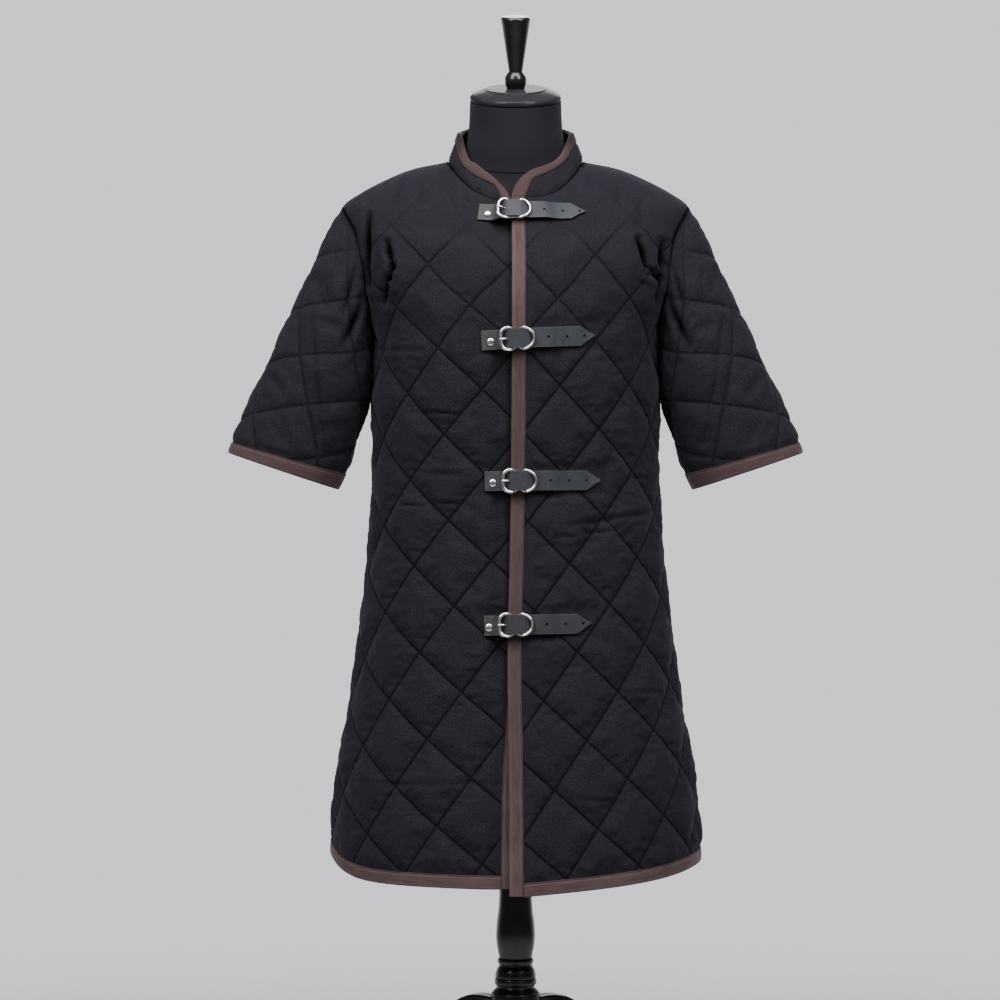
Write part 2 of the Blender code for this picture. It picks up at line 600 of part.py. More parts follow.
def front_outline(panel, hem, edge):
    """Outline of a front, anticlockwise from the lower front corner, and the places where its parts end."""
    corner_arc = float(column(edge, "arc", hem.centre))
    side_arc = float(arc_at(math.pi / 2, [hem.side])[0])
    inner_arc = corner_arc + BAND
    arcs = np.concatenate([[corner_arc], spaced(inner_arc, side_arc - GAP / 2, HEM_STEP)])
    share = hem_share(arcs, False)
    bottom = np.stack([arcs, hem_level(hem, share)], -1)
    levels = side_levels(hem, BAND)[1:]
    side = np.stack([arc_at(math.pi / 2, levels) - GAP / 2, levels], -1)
    angle, level = armhole(ARMHOLE_TURNS[::-1][1:-1])
    hole = np.stack([arc_at(angle, level), level], -1)
    shoulder = np.stack([arc_at(math.pi / 2, SHOULDER_LEVELS) - GAP / 2, SHOULDER_LEVELS], -1)
    top_arc = float(column(edge, "arc", NECK_LEVEL))
    neck_angles = NECK_ANGLES[(NECK_ANGLES < math.pi / 2 - 0.01) & (NECK_ANGLES > 0.1)][::-1]
    neck = np.stack([arc_at(neck_angles, np.full(len(neck_angles), NECK_LEVEL)),
                     np.full(len(neck_angles), NECK_LEVEL)], -1)
    neck = np.vstack([neck, [top_arc + BAND, NECK_LEVEL], [top_arc, NECK_LEVEL]])
    edge_levels = spaced(NECK_LEVEL, bottom[0, 1] + BAND, EDGE_STEP)[1:]
    front = np.stack([column(edge, "arc", edge_levels), edge_levels], -1)
    return [bottom, side, hole, shoulder, neck, front]


def strap_stations(closure):
    """Places along a strap where its outline has corners, from its riveted end to the start of its point."""
    corner = closure.tip - STRAP_POINT
    return [closure.end] + [run.x for run in STRAP_RUN if closure.end < run.x < corner - 0.004] + [corner]


def closure_patch(panel):
    """Flat points under each strap, so that the cloth there is as flat as the strap on it."""
    rows = []
    for closure in CLOSURES:
        for x in (*strap_stations(closure), closure.tip):
            x += closure.shift
            if x * panel.side > BAND + EDGE_CLEAR:
                reach = (STRAP_WIDTH / 2 + PRESS_ASIDE) / closure_stretch(closure, np.array([x]))[0]
                for aside in (-reach, reach):
                    rows.append((x * panel.side, closure_level(closure, x) + aside))
    return np.array(rows).reshape(-1, 2)


def fold_points(panel):
    """Flat points along and beside each fold."""
    rows = []
    for fold in FOLDS:
        if fold.panel == panel.name:
            top = np.array([fold.top_arc, fold.top_level])
            low = np.array([fold.low_arc, fold.low_level])
            across = unit(np.array([-(low - top)[1], (low - top)[0]]))
            for share in (0.0, 0.33, 0.67, 1.0):
                for aside in (-1.7, -0.7, 0.0, 0.7, 1.7):
                    rows.append(top + (low - top) * share + across * fold.half_width * aside)
    return np.array(rows).reshape(-1, 2)


def clear_of(points, others, reach):
    """The points that lie further than reach from every one of the others."""
    if len(others) == 0 or len(points) == 0:
        return points
    away = np.linalg.norm(points[:, None] - others[None], axis=2).min(1)
    return points[away > reach]


def grid_points(low, high, step_x, step_z):
    xs, zs = np.arange(low[0], high[0], step_x), np.arange(low[1], high[1], step_z)
    return np.stack([grid.ravel() for grid in np.meshgrid(xs, zs)], -1)


LATTICE_OFFSETS = (0.0, VALLEY, 1 - VALLEY)
LATTICE_OFFSETS_BACK = (0.0, 0.5)
YOKE_LEVEL = 1.352  # above it the quilting flattens out over the shoulders
YOKE_STEPS = (0.023, 0.026)


def panel_insides(panel, loop, seams, bound, kept):
    """Points inside a panel's outline, for its outer and its inner face."""
    low, high = loop.min(0), loop.max(0)
    signed_low, signed_high = np.array(low), np.array(high)
    if panel.side < 0:
        signed_low[0], signed_high[0] = -high[0], -low[0]
    outer = lattice_points(panel.lattice, signed_low, signed_high,
                           LATTICE_OFFSETS_BACK if panel.back else LATTICE_OFFSETS)
    outer[:, 0] *= panel.side
    outer = outer[inside_loop(outer, loop)]
    outer = outer[distance_to_line(outer, seams) > 0.0075]
    outer = outer[(distance_to_line(outer, bound) > BAND + 0.007) & (outer[:, 1] < YOKE_LEVEL)]
    outer = clear_of(outer, kept, 0.0085)
    yoke = grid_points((low[0] + 0.012, YOKE_LEVEL + 0.006), high, *YOKE_STEPS)
    yoke = yoke[inside_loop(yoke, loop)]
    yoke = yoke[distance_to_line(yoke, np.vstack([loop, loop[:1]])) > 0.010]
    yoke = clear_of(yoke[distance_to_line(yoke, bound) > BAND + 0.008], kept, 0.009)
    inner = grid_points(low + (0.02, 0.03), (high[0], YOKE_LEVEL - 0.010), 0.056, 0.056)
    inner = inner[inside_loop(inner, loop)]
    inner = inner[distance_to_line(inner, np.vstack([loop, loop[:1]])) > 0.011]
    inner = inner[distance_to_line(inner, bound) > BAND + 0.011]
    outer, inner = np.vstack([outer, yoke]), np.vstack([clear_of(inner, kept, 0.012), yoke])
    return outer, inner


def chain(first, count):
    return [(first + k, first + k + 1) for k in range(count - 1)]


def build_front(panel, hem, edge):
    bottom, side, hole, shoulder, neck, front = front_outline(panel, hem, edge)
    loop = np.vstack([bottom, side, hole, shoulder, neck, front])
    lengths = np.cumsum([0] + [len(part) for part in (bottom, side, hole, shoulder, neck, front)])
    seams = np.vstack([bottom[-1:], side, hole, shoulder, neck])
    bound = np.vstack([neck[-1:], front, bottom])
    edge_row = np.stack([front[:-1, 0] + BAND, front[:-1, 1]], -1)
    corner = np.array([[bottom[1, 0], bottom[1, 1] + BAND]])
    hem_row = np.stack([bottom[2:-1, 0], bottom[2:-1, 1] + BAND], -1)
    rows = np.vstack([edge_row, corner, hem_row])
    patch, folds = closure_patch(panel), fold_points(panel)
    kept = np.vstack([rows, patch, folds])
    outer_in, inner_in = panel_insides(panel, loop, seams, bound, np.vstack([patch, folds]))
    outer_flat = np.vstack([loop, kept, outer_in])
    inner_flat = np.vstack([loop, rows, folds, inner_in])
    first = len(loop)
    chains = chain(first, len(rows))
    chains.append((lengths[5] - 2, first))
    chains.append((first + len(rows) - 1, lengths[1]))
    outer = cloth_place(panel, outer_flat, quilt(panel, outer_flat, seams, bound))
    inner = cloth_place(panel, inner_flat, -WALL)
    cloth_solid(panel.name, loop, outer_flat, inner_flat, chains, outer, inner, CLOTH)
    edge_line = np.vstack([neck[-1:], front, bottom[:1]])
    edge_in = np.vstack([neck[-2:-1], edge_row, corner, bottom[1:2]])
    hem_line, hem_in = bottom[1:].copy(), np.vstack([corner, hem_row, side[:1]])
    hem_line[0, 0] += 2 * GAP
    hem_in[0, 0] += 2 * GAP
    return (edge_line, edge_in), (hem_line, hem_in)


def build_back():
    """The back, from its lower middle round both side seams, armholes and shoulders."""
    halves = []
    for hem in (HEM_BACK_LEFT, HEM_BACK_RIGHT):
        side_arc = float(arc_at(math.pi / 2, [hem.side], True)[0])
        arcs = spaced(0.0, side_arc - GAP / 2, HEM_STEP)
        bottom = np.stack([arcs, hem_level(hem, hem_share(arcs, True))], -1)
        levels = side_levels(hem, BAND)[1:]
        side = np.stack([arc_at(math.pi / 2, levels, True) - GAP / 2, levels], -1)
        angle, level = armhole(-ARMHOLE_TURNS[::-1][1:-1])
        hole = np.stack([arc_at(angle, level, True), level], -1)
        shoulder = np.stack([arc_at(math.pi / 2, SHOULDER_LEVELS, True) - GAP / 2, SHOULDER_LEVELS], -1)
        angles = NECK_ANGLES[NECK_ANGLES > math.pi / 2 + 0.01]
        neck = np.stack([arc_at(angles, np.full(len(angles), NECK_LEVEL), True),
                         np.full(len(angles), NECK_LEVEL)], -1)
        halves.append([bottom, side, hole, shoulder, neck])
    mirror = np.array([-1.0, 1.0])
    left, right = halves
    parts = [*left[:4], left[4][:-1], (right[4] * mirror)[::-1]]
    parts += [(right[k] * mirror)[::-1] for k in (3, 2, 1)]
    parts.append((right[0] * mirror)[::-1][:-1])
    loop = np.vstack(parts)
    starts = np.cumsum([0] + [len(part) for part in parts])
    seams = np.vstack([left[0][-1:], *parts[1:9], parts[9][:1]])
    bound = np.vstack([parts[9], parts[0]])
    hem_left = np.stack([left[0][:-1, 0], left[0][:-1, 1] + BAND], -1)
    hem_right = np.stack([parts[9][1:, 0], parts[9][1:, 1] + BAND], -1)
    rows = np.vstack([hem_right, hem_left])
    outer_in, inner_in = panel_insides(BACK, loop, seams, bound, np.zeros((0, 2)))
    outer_flat = np.vstack([loop, rows, outer_in])
    inner_flat = np.vstack([loop, rows, inner_in])
    first = len(loop)
    chains = chain(first, len(rows))
    chains.append((starts[9] - 1, first))
    chains.append((first + len(rows) - 1, starts[1]))
    outer = cloth_place(BACK, outer_flat, quilt(BACK, outer_flat, seams, bound))
    inner = cloth_place(BACK, inner_flat, -WALL)
    cloth_solid(BACK.name, loop, outer_flat, inner_flat, chains, outer, inner, CLOTH)
    hem_line = np.vstack([parts[9], left[0]])
    hem_in = np.vstack([parts[8][-1:], hem_right, hem_left, left[1][:1]])
    return hem_line, hem_in


# ---------------------------------------------------------------- bindings
def folded_tape(name, stations, closed=False):
    """Tape folded over an edge. A station holds the edge and the inner row, each as (outer face, inner face)."""
    rings = []
    for edge_outer, edge_inner, row_outer, row_inner in stations:
        up = unit(edge_outer - edge_inner)
        past = unit(edge_outer - row_outer)
        near, far = GAP, GAP + BAND_WALL
        rings.append([
            row_outer + up * near, row_outer + up * far,
            edge_outer + up * far + past * far, edge_inner - up * far + past * far,
            row_inner - up * far, row_inner - up * near,
            edge_inner - up * near + past * near, edge_outer + up * near + past * near,
        ])
    rings = np.array(rings)
    rows, around = rings.shape[:2]
    faces = []
    for row in range(rows if closed else rows - 1):
        for k in range(around):
            n, a, b = (k + 1) % around, row * around, (row + 1) % rows * around
            faces.append((a + k, a + n, b + n, b + k))
    if not closed:
        halves = ((0, 1, 2, 7), (2, 3, 6, 7), (3, 4, 5, 6))
        last = (rows - 1) * around
        for half in halves:
            faces.append(half)
            faces.append(tuple(last + k for k in reversed(half)))
    return solid(name, rings.reshape(-1, 3), faces, TAPE)


def panel_stations(panel, line, inner_line):
    edge_outer, edge_inner = cloth_place(panel, line, 0.0), cloth_place(panel, line, -WALL)
    row_outer, row_inner = cloth_place(panel, inner_line, 0.0), cloth_place(panel, inner_line, -WALL)
    return list(zip(edge_outer, edge_inner, row_outer, row_inner))


# ---------------------------------------------------------------- sleeves
def sleeve_ring(turn, share):
    cosine = np.cos(turn)
    outer_x, inner_x = column(SLEEVE, "outer_x", share), column(SLEEVE, "inner_x", share)
    outer_z, inner_z = column(SLEEVE, "outer_z", share), column(SLEEVE, "inner_z", share)
    x = (outer_x + inner_x) / 2 + (outer_x - inner_x) / 2 * cosine
    z = (outer_z + inner_z) / 2 + (outer_z - inner_z) / 2 * cosine
    return np.stack([x, -column(SLEEVE, "half_depth", share) * np.sin(turn), z], -1)


def armhole_frame(turn):
    """The armhole seam's points, the cloth's normal there, and the way across the seam into the sleeve."""
    angle, level = armhole(turn)
    point, out = torso_point(angle, level), torso_normal(angle, level)
    step = 1e-3
    along = torso_point(*armhole(turn + step)) - torso_point(*armhole(turn - step))
    across = unit(np.cross(out, along))
    middle = np.array([0.215, 0.0, (TIP_LEVEL + UNDERARM) / 2])
    across *= np.sign(np.einsum("...c,...c->...", across, middle - point))[..., None]
    return point, out, across


def sleeve_surface(turn, share):
    """The wearer's left sleeve: its rings, drawn on to the armhole seam near the top."""
    turn, share = np.broadcast_arrays(np.asarray(turn, float), np.asarray(share, float))
    seam, out, across = armhole_frame(turn)
    seam = seam + (across + out) * GAP
    pull = (1 - smooth_step(share, 0.0, 0.42))[..., None]
    return sleeve_ring(turn, share) + (seam - sleeve_ring(turn, np.zeros_like(share))) * pull


def sleeve_normal(turn, share):
    step = 1e-3
    low, high = np.clip(share - step, 0, 1), np.clip(share + step, 0, 1)
    around = sleeve_surface(turn + step, share) - sleeve_surface(turn - step, share)
    down = sleeve_surface(turn, high) - sleeve_surface(turn, low)
    return unit(np.cross(around, down))


def sleeve_place(turn, share, lift):
    out = sleeve_normal(turn, share)
    _, _, across = armhole_frame(turn)
    inward = -out
    back = np.minimum(np.einsum("pc,pc->p", inward, across), 0.0)[:, None]
    turned = unit(inward - across * back)
    near = (1 - smooth_step(share, 0.0, 0.08))[:, None]
    inward = unit(inward * (1 - near) + turned * near)
    return sleeve_surface(turn, share) - inward * np.broadcast_to(lift, turn.shape)[:, None]


def sleeve_length(turn):
    return SLEEVE_LENGTH + SLEEVE_CAP * np.cos(turn)


def sleeve_quilt(turn, share):
    wide, up = turn * SLEEVE_RADIUS, (1 - share) * sleeve_length(turn)
    level_line = (up * math.cos(SLEEVE_TURN) - wide * math.sin(SLEEVE_TURN) - SLEEVE_PHASE) / SLEEVE_ROW
    slant_line = (up * math.cos(SLEEVE_SLANT) - wide * math.sin(SLEEVE_SLANT)) / SLEEVE_ROW
    height = PUFF * stitch_profile(level_line) * stitch_profile(slant_line)
    height *= smooth_step(share * SLEEVE_LENGTH, 0.0, 0.030)
    height *= smooth_step(up, BAND + 0.001, BAND + 0.014)
    inside = smooth_step(share, *SLEEVE_PRESS_SHARES)
    widest = SLEEVE_PRESS_TURNS[0] * (1 - inside) + SLEEVE_PRESS_TURNS[1] * inside
    return height * smooth_step(math.pi - np.abs(turn), 0.05, widest)


SLEEVE_TURNS = np.concatenate([-ARMHOLE_TURNS[::-1], ARMHOLE_TURNS[1:]])


def sleeve_flat(turn, share):
    turn, share = np.broadcast_arrays(turn, share)
    return np.stack([turn * SLEEVE_RADIUS, -share * SLEEVE_LENGTH], -1)


def build_sleeve(name, side):
    """One sleeve with its cuff binding. The flat sheet closes on itself at the underarm."""
    turns = SLEEVE_TURNS
    band_share = 1 - BAND / sleeve_length(turns)
    seam_shares = np.linspace(0, band_share[0], 8)[1:]
    cuff = sleeve_flat(turns, 1.0)
    right = sleeve_flat(math.pi, seam_shares[::-1])
    top = sleeve_flat(turns[::-1], 0.0)
    left = sleeve_flat(-math.pi, seam_shares)
    loop = np.vstack([cuff, right, top, left])
    ends = np.cumsum([len(cuff), len(right), len(top), len(left)])
    open_edges = [*range(ends[0] - 1, ends[1]), *range(ends[2] - 1, ends[3])]
    row = sleeve_flat(turns[1:-1], band_share[1:-1])
    low, high = loop.min(0), loop.max(0)
    insides = sleeve_lattice_points()
    insides = insides[(insides > low + 0.006).all(1) & (insides < high - 0.006).all(1)]
    share = -insides[:, 1] / SLEEVE_LENGTH
    turn = insides[:, 0] / SLEEVE_RADIUS
    insides = insides[(1 - share) * sleeve_length(turn) > BAND + 0.007]
    plain = grid_points(low + 0.02, high - 0.005, 0.040, 0.040)
    share, turn = -plain[:, 1] / SLEEVE_LENGTH, plain[:, 0] / SLEEVE_RADIUS
    plain = plain[(1 - share) * sleeve_length(turn) > BAND + 0.010]
    outer_flat, inner_flat = np.vstack([loop, row, insides]), np.vstack([loop, row, plain])
    first = len(loop)
    chains = chain(first, len(row)) + [(ends[0], first + len(row) - 1), (ends[3] - 1, first)]
    faces = []
    for flat, raised in ((outer_flat, True), (inner_flat, False)):
        turn, share = flat[:, 0] / SLEEVE_RADIUS, np.clip(-flat[:, 1] / SLEEVE_LENGTH, 0, 1)
        placed = sleeve_place(turn, share, sleeve_quilt(turn, share) if raised else -WALL)
        placed[:, 0] *= side
        faces.append(placed)
    cloth_solid(name, loop, outer_flat, inner_flat, chains, faces[0], faces[1], CLOTH, open_edges)
    stations = []
    for lift in (0.0, -WALL):
        for at in (np.ones(len(turns) - 1), band_share[:-1]):
            placed = sleeve_place(turns[:-1], at, lift)
            placed[:, 0] *= side
            stations.append(placed)
    edge_outer, row_outer, edge_inner, row_inner = stations
    folded_tape(name.replace("sleeve", "binding_cuff"), list(zip(edge_outer, edge_inner, row_outer, row_inner)), True)


def sleeve_lattice_points():
    """Flat points on and between the stitch lines of a sleeve."""
    steps = [whole + part for whole in range(-9, 14) for part in LATTICE_OFFSETS]
    first, second = [grid.ravel() for grid in np.meshgrid(steps, steps)]
    across = np.array([[math.cos(SLEEVE_TURN), -math.sin(SLEEVE_TURN)],
                       [math.cos(SLEEVE_SLANT), -math.sin(SLEEVE_SLANT)]])
    up, wide = np.linalg.inv(across) @ np.stack([first * SLEEVE_ROW + SLEEVE_PHASE, second * SLEEVE_ROW])
    turn = wide / SLEEVE_RADIUS
    share = 1 - up / sleeve_length(np.clip(turn, -math.pi, math.pi))
    return sleeve_flat(turn, share)


# ---------------------------------------------------------------- collar
COLLAR_END_LEFT = 0.020  # angle of the collar's end on the left front
COLLAR_END_RIGHT = 0.135  # and on the right front, short of the left front's edge
COLLAR_TURN_LEFT = math.radians(6.5)  # where its top edge turns down to that end


def collar_place(angle, height_from_top, share, lift):
    """Collar point: share 0 at the neckline seam, 1 at the top edge, or a distance below the top edge."""
    size = np.abs(angle)
    base = torso_point(angle, NECK_LEVEL)
    step = 1e-3
    along = torso_point(angle + step, NECK_LEVEL) - torso_point(angle - step, NECK_LEVEL)
    up = np.array([0.0, 0.0, 1.0])
    outward = unit(np.cross(along, up))
    lean = np.radians(column(COLLAR, "lean", np.degrees(size)))[:, None]
    direction = up * np.cos(lean) - outward * np.sin(lean)
    out = outward * np.cos(lean) + up * np.sin(lean)
    degrees = np.degrees(size)
    height = np.where(angle > 0, column(COLLAR, "height_left", degrees), column(COLLAR, "height_right", degrees))
    rise = 2 * GAP + share * (height - 2 * GAP) - height_from_top
    arc = arc_at(size, np.full(len(size), NECK_LEVEL))
    rise_near = RISE * (1 - smooth_step(arc, OVERLAP, RISE_END))
    shift = np.where(angle > 0, rise_near, -SINK * (1 - smooth_step(arc, OVERLAP, SINK_END)))
    base = base + torso_normal(angle, np.full(len(size), NECK_LEVEL)) * shift[:, None]
    return base + direction * rise[:, None] + out * lift[:, None]


def build_collar():
    inner_angles = NECK_ANGLES[1:-1]
    angles = np.concatenate([[COLLAR_END_LEFT, COLLAR_TURN_LEFT], inner_angles, [math.pi],
                             2 * math.pi - inner_angles[::-1], [2 * math.pi - COLLAR_END_RIGHT]])
    angles = np.where(angles > math.pi, angles - 2 * math.pi, angles)
    zero, one = np.zeros(len(angles)), np.ones(len(angles))
    rows = [(zero, zero), (COLLAR_BAND * one, one), (zero, one)]
    grids = []
    for lift in (0.0, -COLLAR_WALL):
        grids.append([collar_place(angles, drop, share, lift * one) for drop, share in rows])
    grids = np.array(grids)
    points = grids.reshape(-1, 3)
    around = len(angles)

    def index(face, row, k):
        return (face * 3 + row) * around + k

    faces = []
    for k in range(around - 1):
        for row in range(2):
            for face in range(2):
                faces.append((index(face, row, k), index(face, row, k + 1),
                              index(face, row + 1, k + 1), index(face, row + 1, k)))
        for row in (0, 2):
            faces.append((index(0, row, k), index(1, row, k), index(1, row, k + 1), index(0, row, k + 1)))
    for k in (0, around - 1):
        for row in range(2):
            faces.append((index(0, row, k), index(0, row + 1, k), index(1, row + 1, k), index(1, row, k)))
    solid("collar", points, faces, CLOTH)
    outer, inner = grids
    folded_tape("binding_collar", list(zip(outer[2], inner[2], outer[1], inner[1])))


# ---------------------------------------------------------------- closures
def front_place(closure, x, aside, lift):
    """World place near the front: x along the strap from its buckle, aside across it, lift off the surface."""
    x, aside, lift = [np.asarray(v, float) for v in (x, aside, lift)]
    x = x + closure.shift
    step = 1e-3
    places = []
    for shift in (-step, 0.0, step):
        level = closure_level(closure, x + shift)
        angle = angle_at(x + shift, level)
        places.append(torso_point(angle, level))
    out = torso_normal(angle_at(x, closure_level(closure, x)), closure_level(closure, x))
    across = unit(np.cross(out, places[2] - places[0]))
    return places[1] + across * aside[:, None] + out * lift[:, None]


def path_lift(run, x):
    return np.interp(x, [row.x for row in run], [row.lift for row in run])


def leather(name, closure, outline, holes, place_mid, wall):
    """Flat leather with holes, laid along a path. place_mid gives (x, lift) and the way out at each distance."""
    loops = [np.array(outline)] + [np.array(hole) for hole in holes]
    flat = np.vstack(loops)
    edges, first = [], 0
    for loop in loops:
        edges += [(first + k, first + (k + 1) % len(loop)) for k in range(len(loop))]
        first += len(loop)
    faces = triangles(flat, edges, loops[0], loops[1:])
    faces += [tuple(len(flat) + k for k in reversed(face)) for face in faces]
    for a, b in edges:
        faces.append((b, a, len(flat) + a, len(flat) + b))
    x, lift, out_x, out_lift = place_mid(flat[:, 0])
    points = []
    for half in (wall / 2, -wall / 2):
        points.append(front_place(closure, x + out_x * half, flat[:, 1], lift + out_lift * half))
    return solid(name, np.vstack(points), faces, LEATHER)


def straight_run(run, wall):
    """Path of a strap whose underside follows the run."""
    def place(x):
        return x, path_lift(run, x) + wall / 2, np.zeros(len(x)), np.ones(len(x))
    return place


def round_hole(x, radius, sides=6):
    turns = np.linspace(0, 2 * math.pi, sides, endpoint=False)
    return np.stack([x + radius * np.cos(turns), radius * np.sin(turns)], -1)


def slot_hole(slot):
    middle, half_length, half_width = slot
    turns = np.radians([0, 55, 125, 180, 235, 305])
    stretch = np.sign(np.round(np.cos(turns), 3)) * (half_length - half_width)
    return np.stack([middle + stretch + half_width * np.cos(turns), half_width * np.sin(turns)], -1)


def build_strap(name, closure):
    half = STRAP_WIDTH / 2
    stations = strap_stations(closure)
    outline = [(x, -half) for x in stations] + [(closure.tip, 0.0)] + [(x, half) for x in reversed(stations)]
    holes = [round_hole(x, HOLE) for x in STRAP_HOLES] + [slot_hole(TONGUE_SLOT)]
    leather(name, closure, outline, holes, straight_run(STRAP_RUN, STRAP_WALL), STRAP_WALL)


# Chape: the middle of the leather before and after it goes round the centre bar.
CHAPE_UNDER = (Run(0.0390, 0.0030), Run(0.0300, 0.0039), Run(0.0190, 0.0044), Run(0.0135, 0.0057),
               Run(0.0115, 0.0062))
CHAPE_OVER = (Run(0.0060, 0.0099), Run(0.0115, 0.0081), Run(0.0150, 0.0071), Run(0.0190, 0.0063),
              Run(0.0300, 0.0058), Run(0.0370, 0.0050))
CHAPE_LOOP = BAR + GAP + CHAPE_WALL / 2


def chape_path():
    """Points (x, lift) of the chape's middle: under the bar, round it and back over itself."""
    points = [(run.x, run.lift) for run in CHAPE_UNDER]
    for degrees in range(-90, -271, -30):
        turn = math.radians(degrees)
        points.append((BAR_X + CHAPE_LOOP * math.cos(turn), BAR_LIFT + CHAPE_LOOP * math.sin(turn)))
    points += [(run.x, run.lift) for run in CHAPE_OVER]
    return np.array(points)


def build_chape(name, closure):
    path = chape_path()
    reach = np.concatenate([[0], np.cumsum(np.linalg.norm(np.diff(path, axis=0), axis=1))])
    along = unit(np.gradient(path, axis=0))
    out = np.stack([along[:, 1], -along[:, 0]], -1)
    half = CHAPE_WIDTH / 2
    outline = [(s, -half) for s in reach] + [(s, half) for s in reach[::-1]]
    loop = reach[len(CHAPE_UNDER): len(CHAPE_UNDER) + 7]
    slot_half = TONGUE + 0.0012
    loop = np.append(loop, loop[-1] + 0.0052)
    slot = [(s, -slot_half) for s in loop] + [(s, slot_half) for s in loop[::-1]]

    def place(s):
        x, lift = [np.interp(s, reach, path[:, k]) for k in (0, 1)]
        out_x, out_lift = [np.interp(s, reach, out[:, k]) for k in (0, 1)]
        return x, lift, out_x, out_lift

    leather(name, closure, outline, [slot], place, CHAPE_WALL)


def tube(points, radius, sides, closed):
    """Rings of a round wire along points (x, aside, lift)."""
    points = np.asarray(points, float)
    if closed:
        along = unit(np.roll(points, -1, 0) - np.roll(points, 1, 0))
    else:
        along = unit(np.gradient(points, axis=0))
    steady = np.array([0.0, 0.0, 1.0]) if closed else np.array([0.0, 1.0, 0.0])
    first = unit(np.cross(along, steady))
    second = np.cross(along, first)
    turns = np.linspace(0, 2 * math.pi, sides, endpoint=False) + math.pi / sides
    rings = points[:, None] + radius * (np.cos(turns)[None, :, None] * first[:, None]
                                        + np.sin(turns)[None, :, None] * second[:, None])
    return rings


BUCKLE_HALF = 0.0152  # half height of the frame
BUCKLE_WAIST = 0.0016  # how far the frame draws in at its bar
BUCKLE_CORNER = 0.0065
BUCKLE_ROUND = 0.92  # the round loop's reach, as a share of its half height
RIM_RISE = 0.012  # from the bar to where the rims stand at their full height
BUCKLE_LEFT = -0.0228  # middle of the rim at the strap's end
BUCKLE_RIGHT = 0.0182


def buckle_outline():
    """The frame's wire, in the buckle's plane: a squarish loop, a waist at the bar and a round loop."""
    corner = BUCKLE_CORNER
    rows = [(BAR_X, BUCKLE_HALF - BUCKLE_WAIST)]
    for degrees in (100, 125, 150, 175):
        turn = math.radians(degrees)
        rows.append((BUCKLE_LEFT + corner + corner * math.cos(turn),
                     BUCKLE_HALF - corner + corner * math.sin(turn)))
    rows.append((BUCKLE_LEFT, 0.0))
    rows += [(x, -y) for x, y in reversed(rows[1:-1])]
    rows.append((BAR_X, -BUCKLE_HALF + BUCKLE_WAIST))
    reach = BUCKLE_HALF * BUCKLE_ROUND
    arc = [math.radians(d) for d in (-82, -62, -42, -21, 0, 21, 42, 62, 82)]
    rows += [(BUCKLE_RIGHT - reach + reach * math.cos(t), BUCKLE_HALF * math.sin(t)) for t in arc]
    return np.array(rows)


def rim_lift(x):
    """The frame dips to its bar between two rims that stand higher."""
    return BAR_LIFT + (RIM_LIFT - BAR_LIFT) * smooth_step(np.abs(x - BAR_X), 0.0, RIM_RISE)


def build_buckle(name, closure):
    """Frame and centre bar made as one body, then laid on the front."""
    outline = buckle_outline()
    wire = np.column_stack([outline, rim_lift(outline[:, 0])])
    rings = tube(wire, WIRE, 5, True)
    rows, around = rings.shape[:2]
    faces = []
    for row in range(rows):
        for k in range(around):
            n, a, b = (k + 1) % around, row * around, (row + 1) % rows * around
            faces.append((a + k, a + n, b + n, b + k))
    reach = BUCKLE_HALF - BUCKLE_WAIST
    bar = np.array([[(BAR_X + BAR * math.cos(t), end, BAR_LIFT + BAR * math.sin(t))
                     for t in np.linspace(0, 2 * math.pi, 6, endpoint=False)] for end in (-reach, reach)])
    frame = solid(name, rings.reshape(-1, 3), faces, NICKEL)
    cutter = loft(name + "_bar", bar, NICKEL)
    cutter.hide_render = True
    cutter.display_type = "WIRE"
    join = frame.modifiers.new("bar", "BOOLEAN")
    join.operation = "UNION"
    join.solver = "EXACT"
    join.object = cutter
    view = bpy.context.evaluated_depsgraph_get()
    view.update()
    joined = bpy.data.meshes.new_from_object(frame.evaluated_get(view))
    flat = np.array([tuple(v.co) for v in joined.vertices])
    placed = front_place(closure, flat[:, 0], flat[:, 1], flat[:, 2])
    joined.vertices.foreach_set("co", placed.astype(np.float32).ravel())
    frame.modifiers.clear()
    frame.data = joined
    bpy.data.objects.remove(cutter)


def build_tongue(name, closure):
    """A wire hooked over the bar, through the strap's hole and on to the rim."""
    loop = BAR + GAP + TONGUE
    path = []
    for degrees in (-5, 30, 60, 88):
        turn = math.radians(degrees)
        path.append((BAR_X + loop * math.cos(turn), 0.0, BAR_LIFT + loop * math.sin(turn)))
    over = RIM_LIFT + WIRE + GAP + TONGUE
    path += [(-0.0075, 0.0, 0.0121), (-0.0125, 0.0, 0.0135), (-0.0180, 0.0, over),
             (-0.0235, 0.0, over + 0.0001), (-0.0258, 0.0, over - 0.0008)]
    rings = tube(path, TONGUE, 6, False)
    rings[-1] = rings[-1].mean(0) + (rings[-1] - rings[-1].mean(0)) * 0.6
    flat = rings.reshape(-1, 3)
    placed = front_place(closure, flat[:, 0], flat[:, 1], flat[:, 2]).reshape(rings.shape)
    loft(name, placed, NICKEL)


# Rivet head, up from the leather: height, radius.
RIVET = ((0.0, 0.0042), (0.0005, 0.0042), (0.0014, 0.0034), (0.0020, 0.0018))


def build_rivet(name, closure):
    """Domed rivet head on the strap's riveted end."""
    seat = path_lift(STRAP_RUN, RIVET_X) + STRAP_WALL + GAP
    turns = np.linspace(0, 2 * math.pi, 8, endpoint=False)
    rings = []
    for rise, radius in RIVET:
        rings.append(front_place(closure, RIVET_X + radius * np.cos(turns), radius * np.sin(turns),
                                 np.full(8, seat + rise)))
    loft(name, rings, NICKEL)


# ---------------------------------------------------------------- dress form and stand
FORM_AROUND = 36


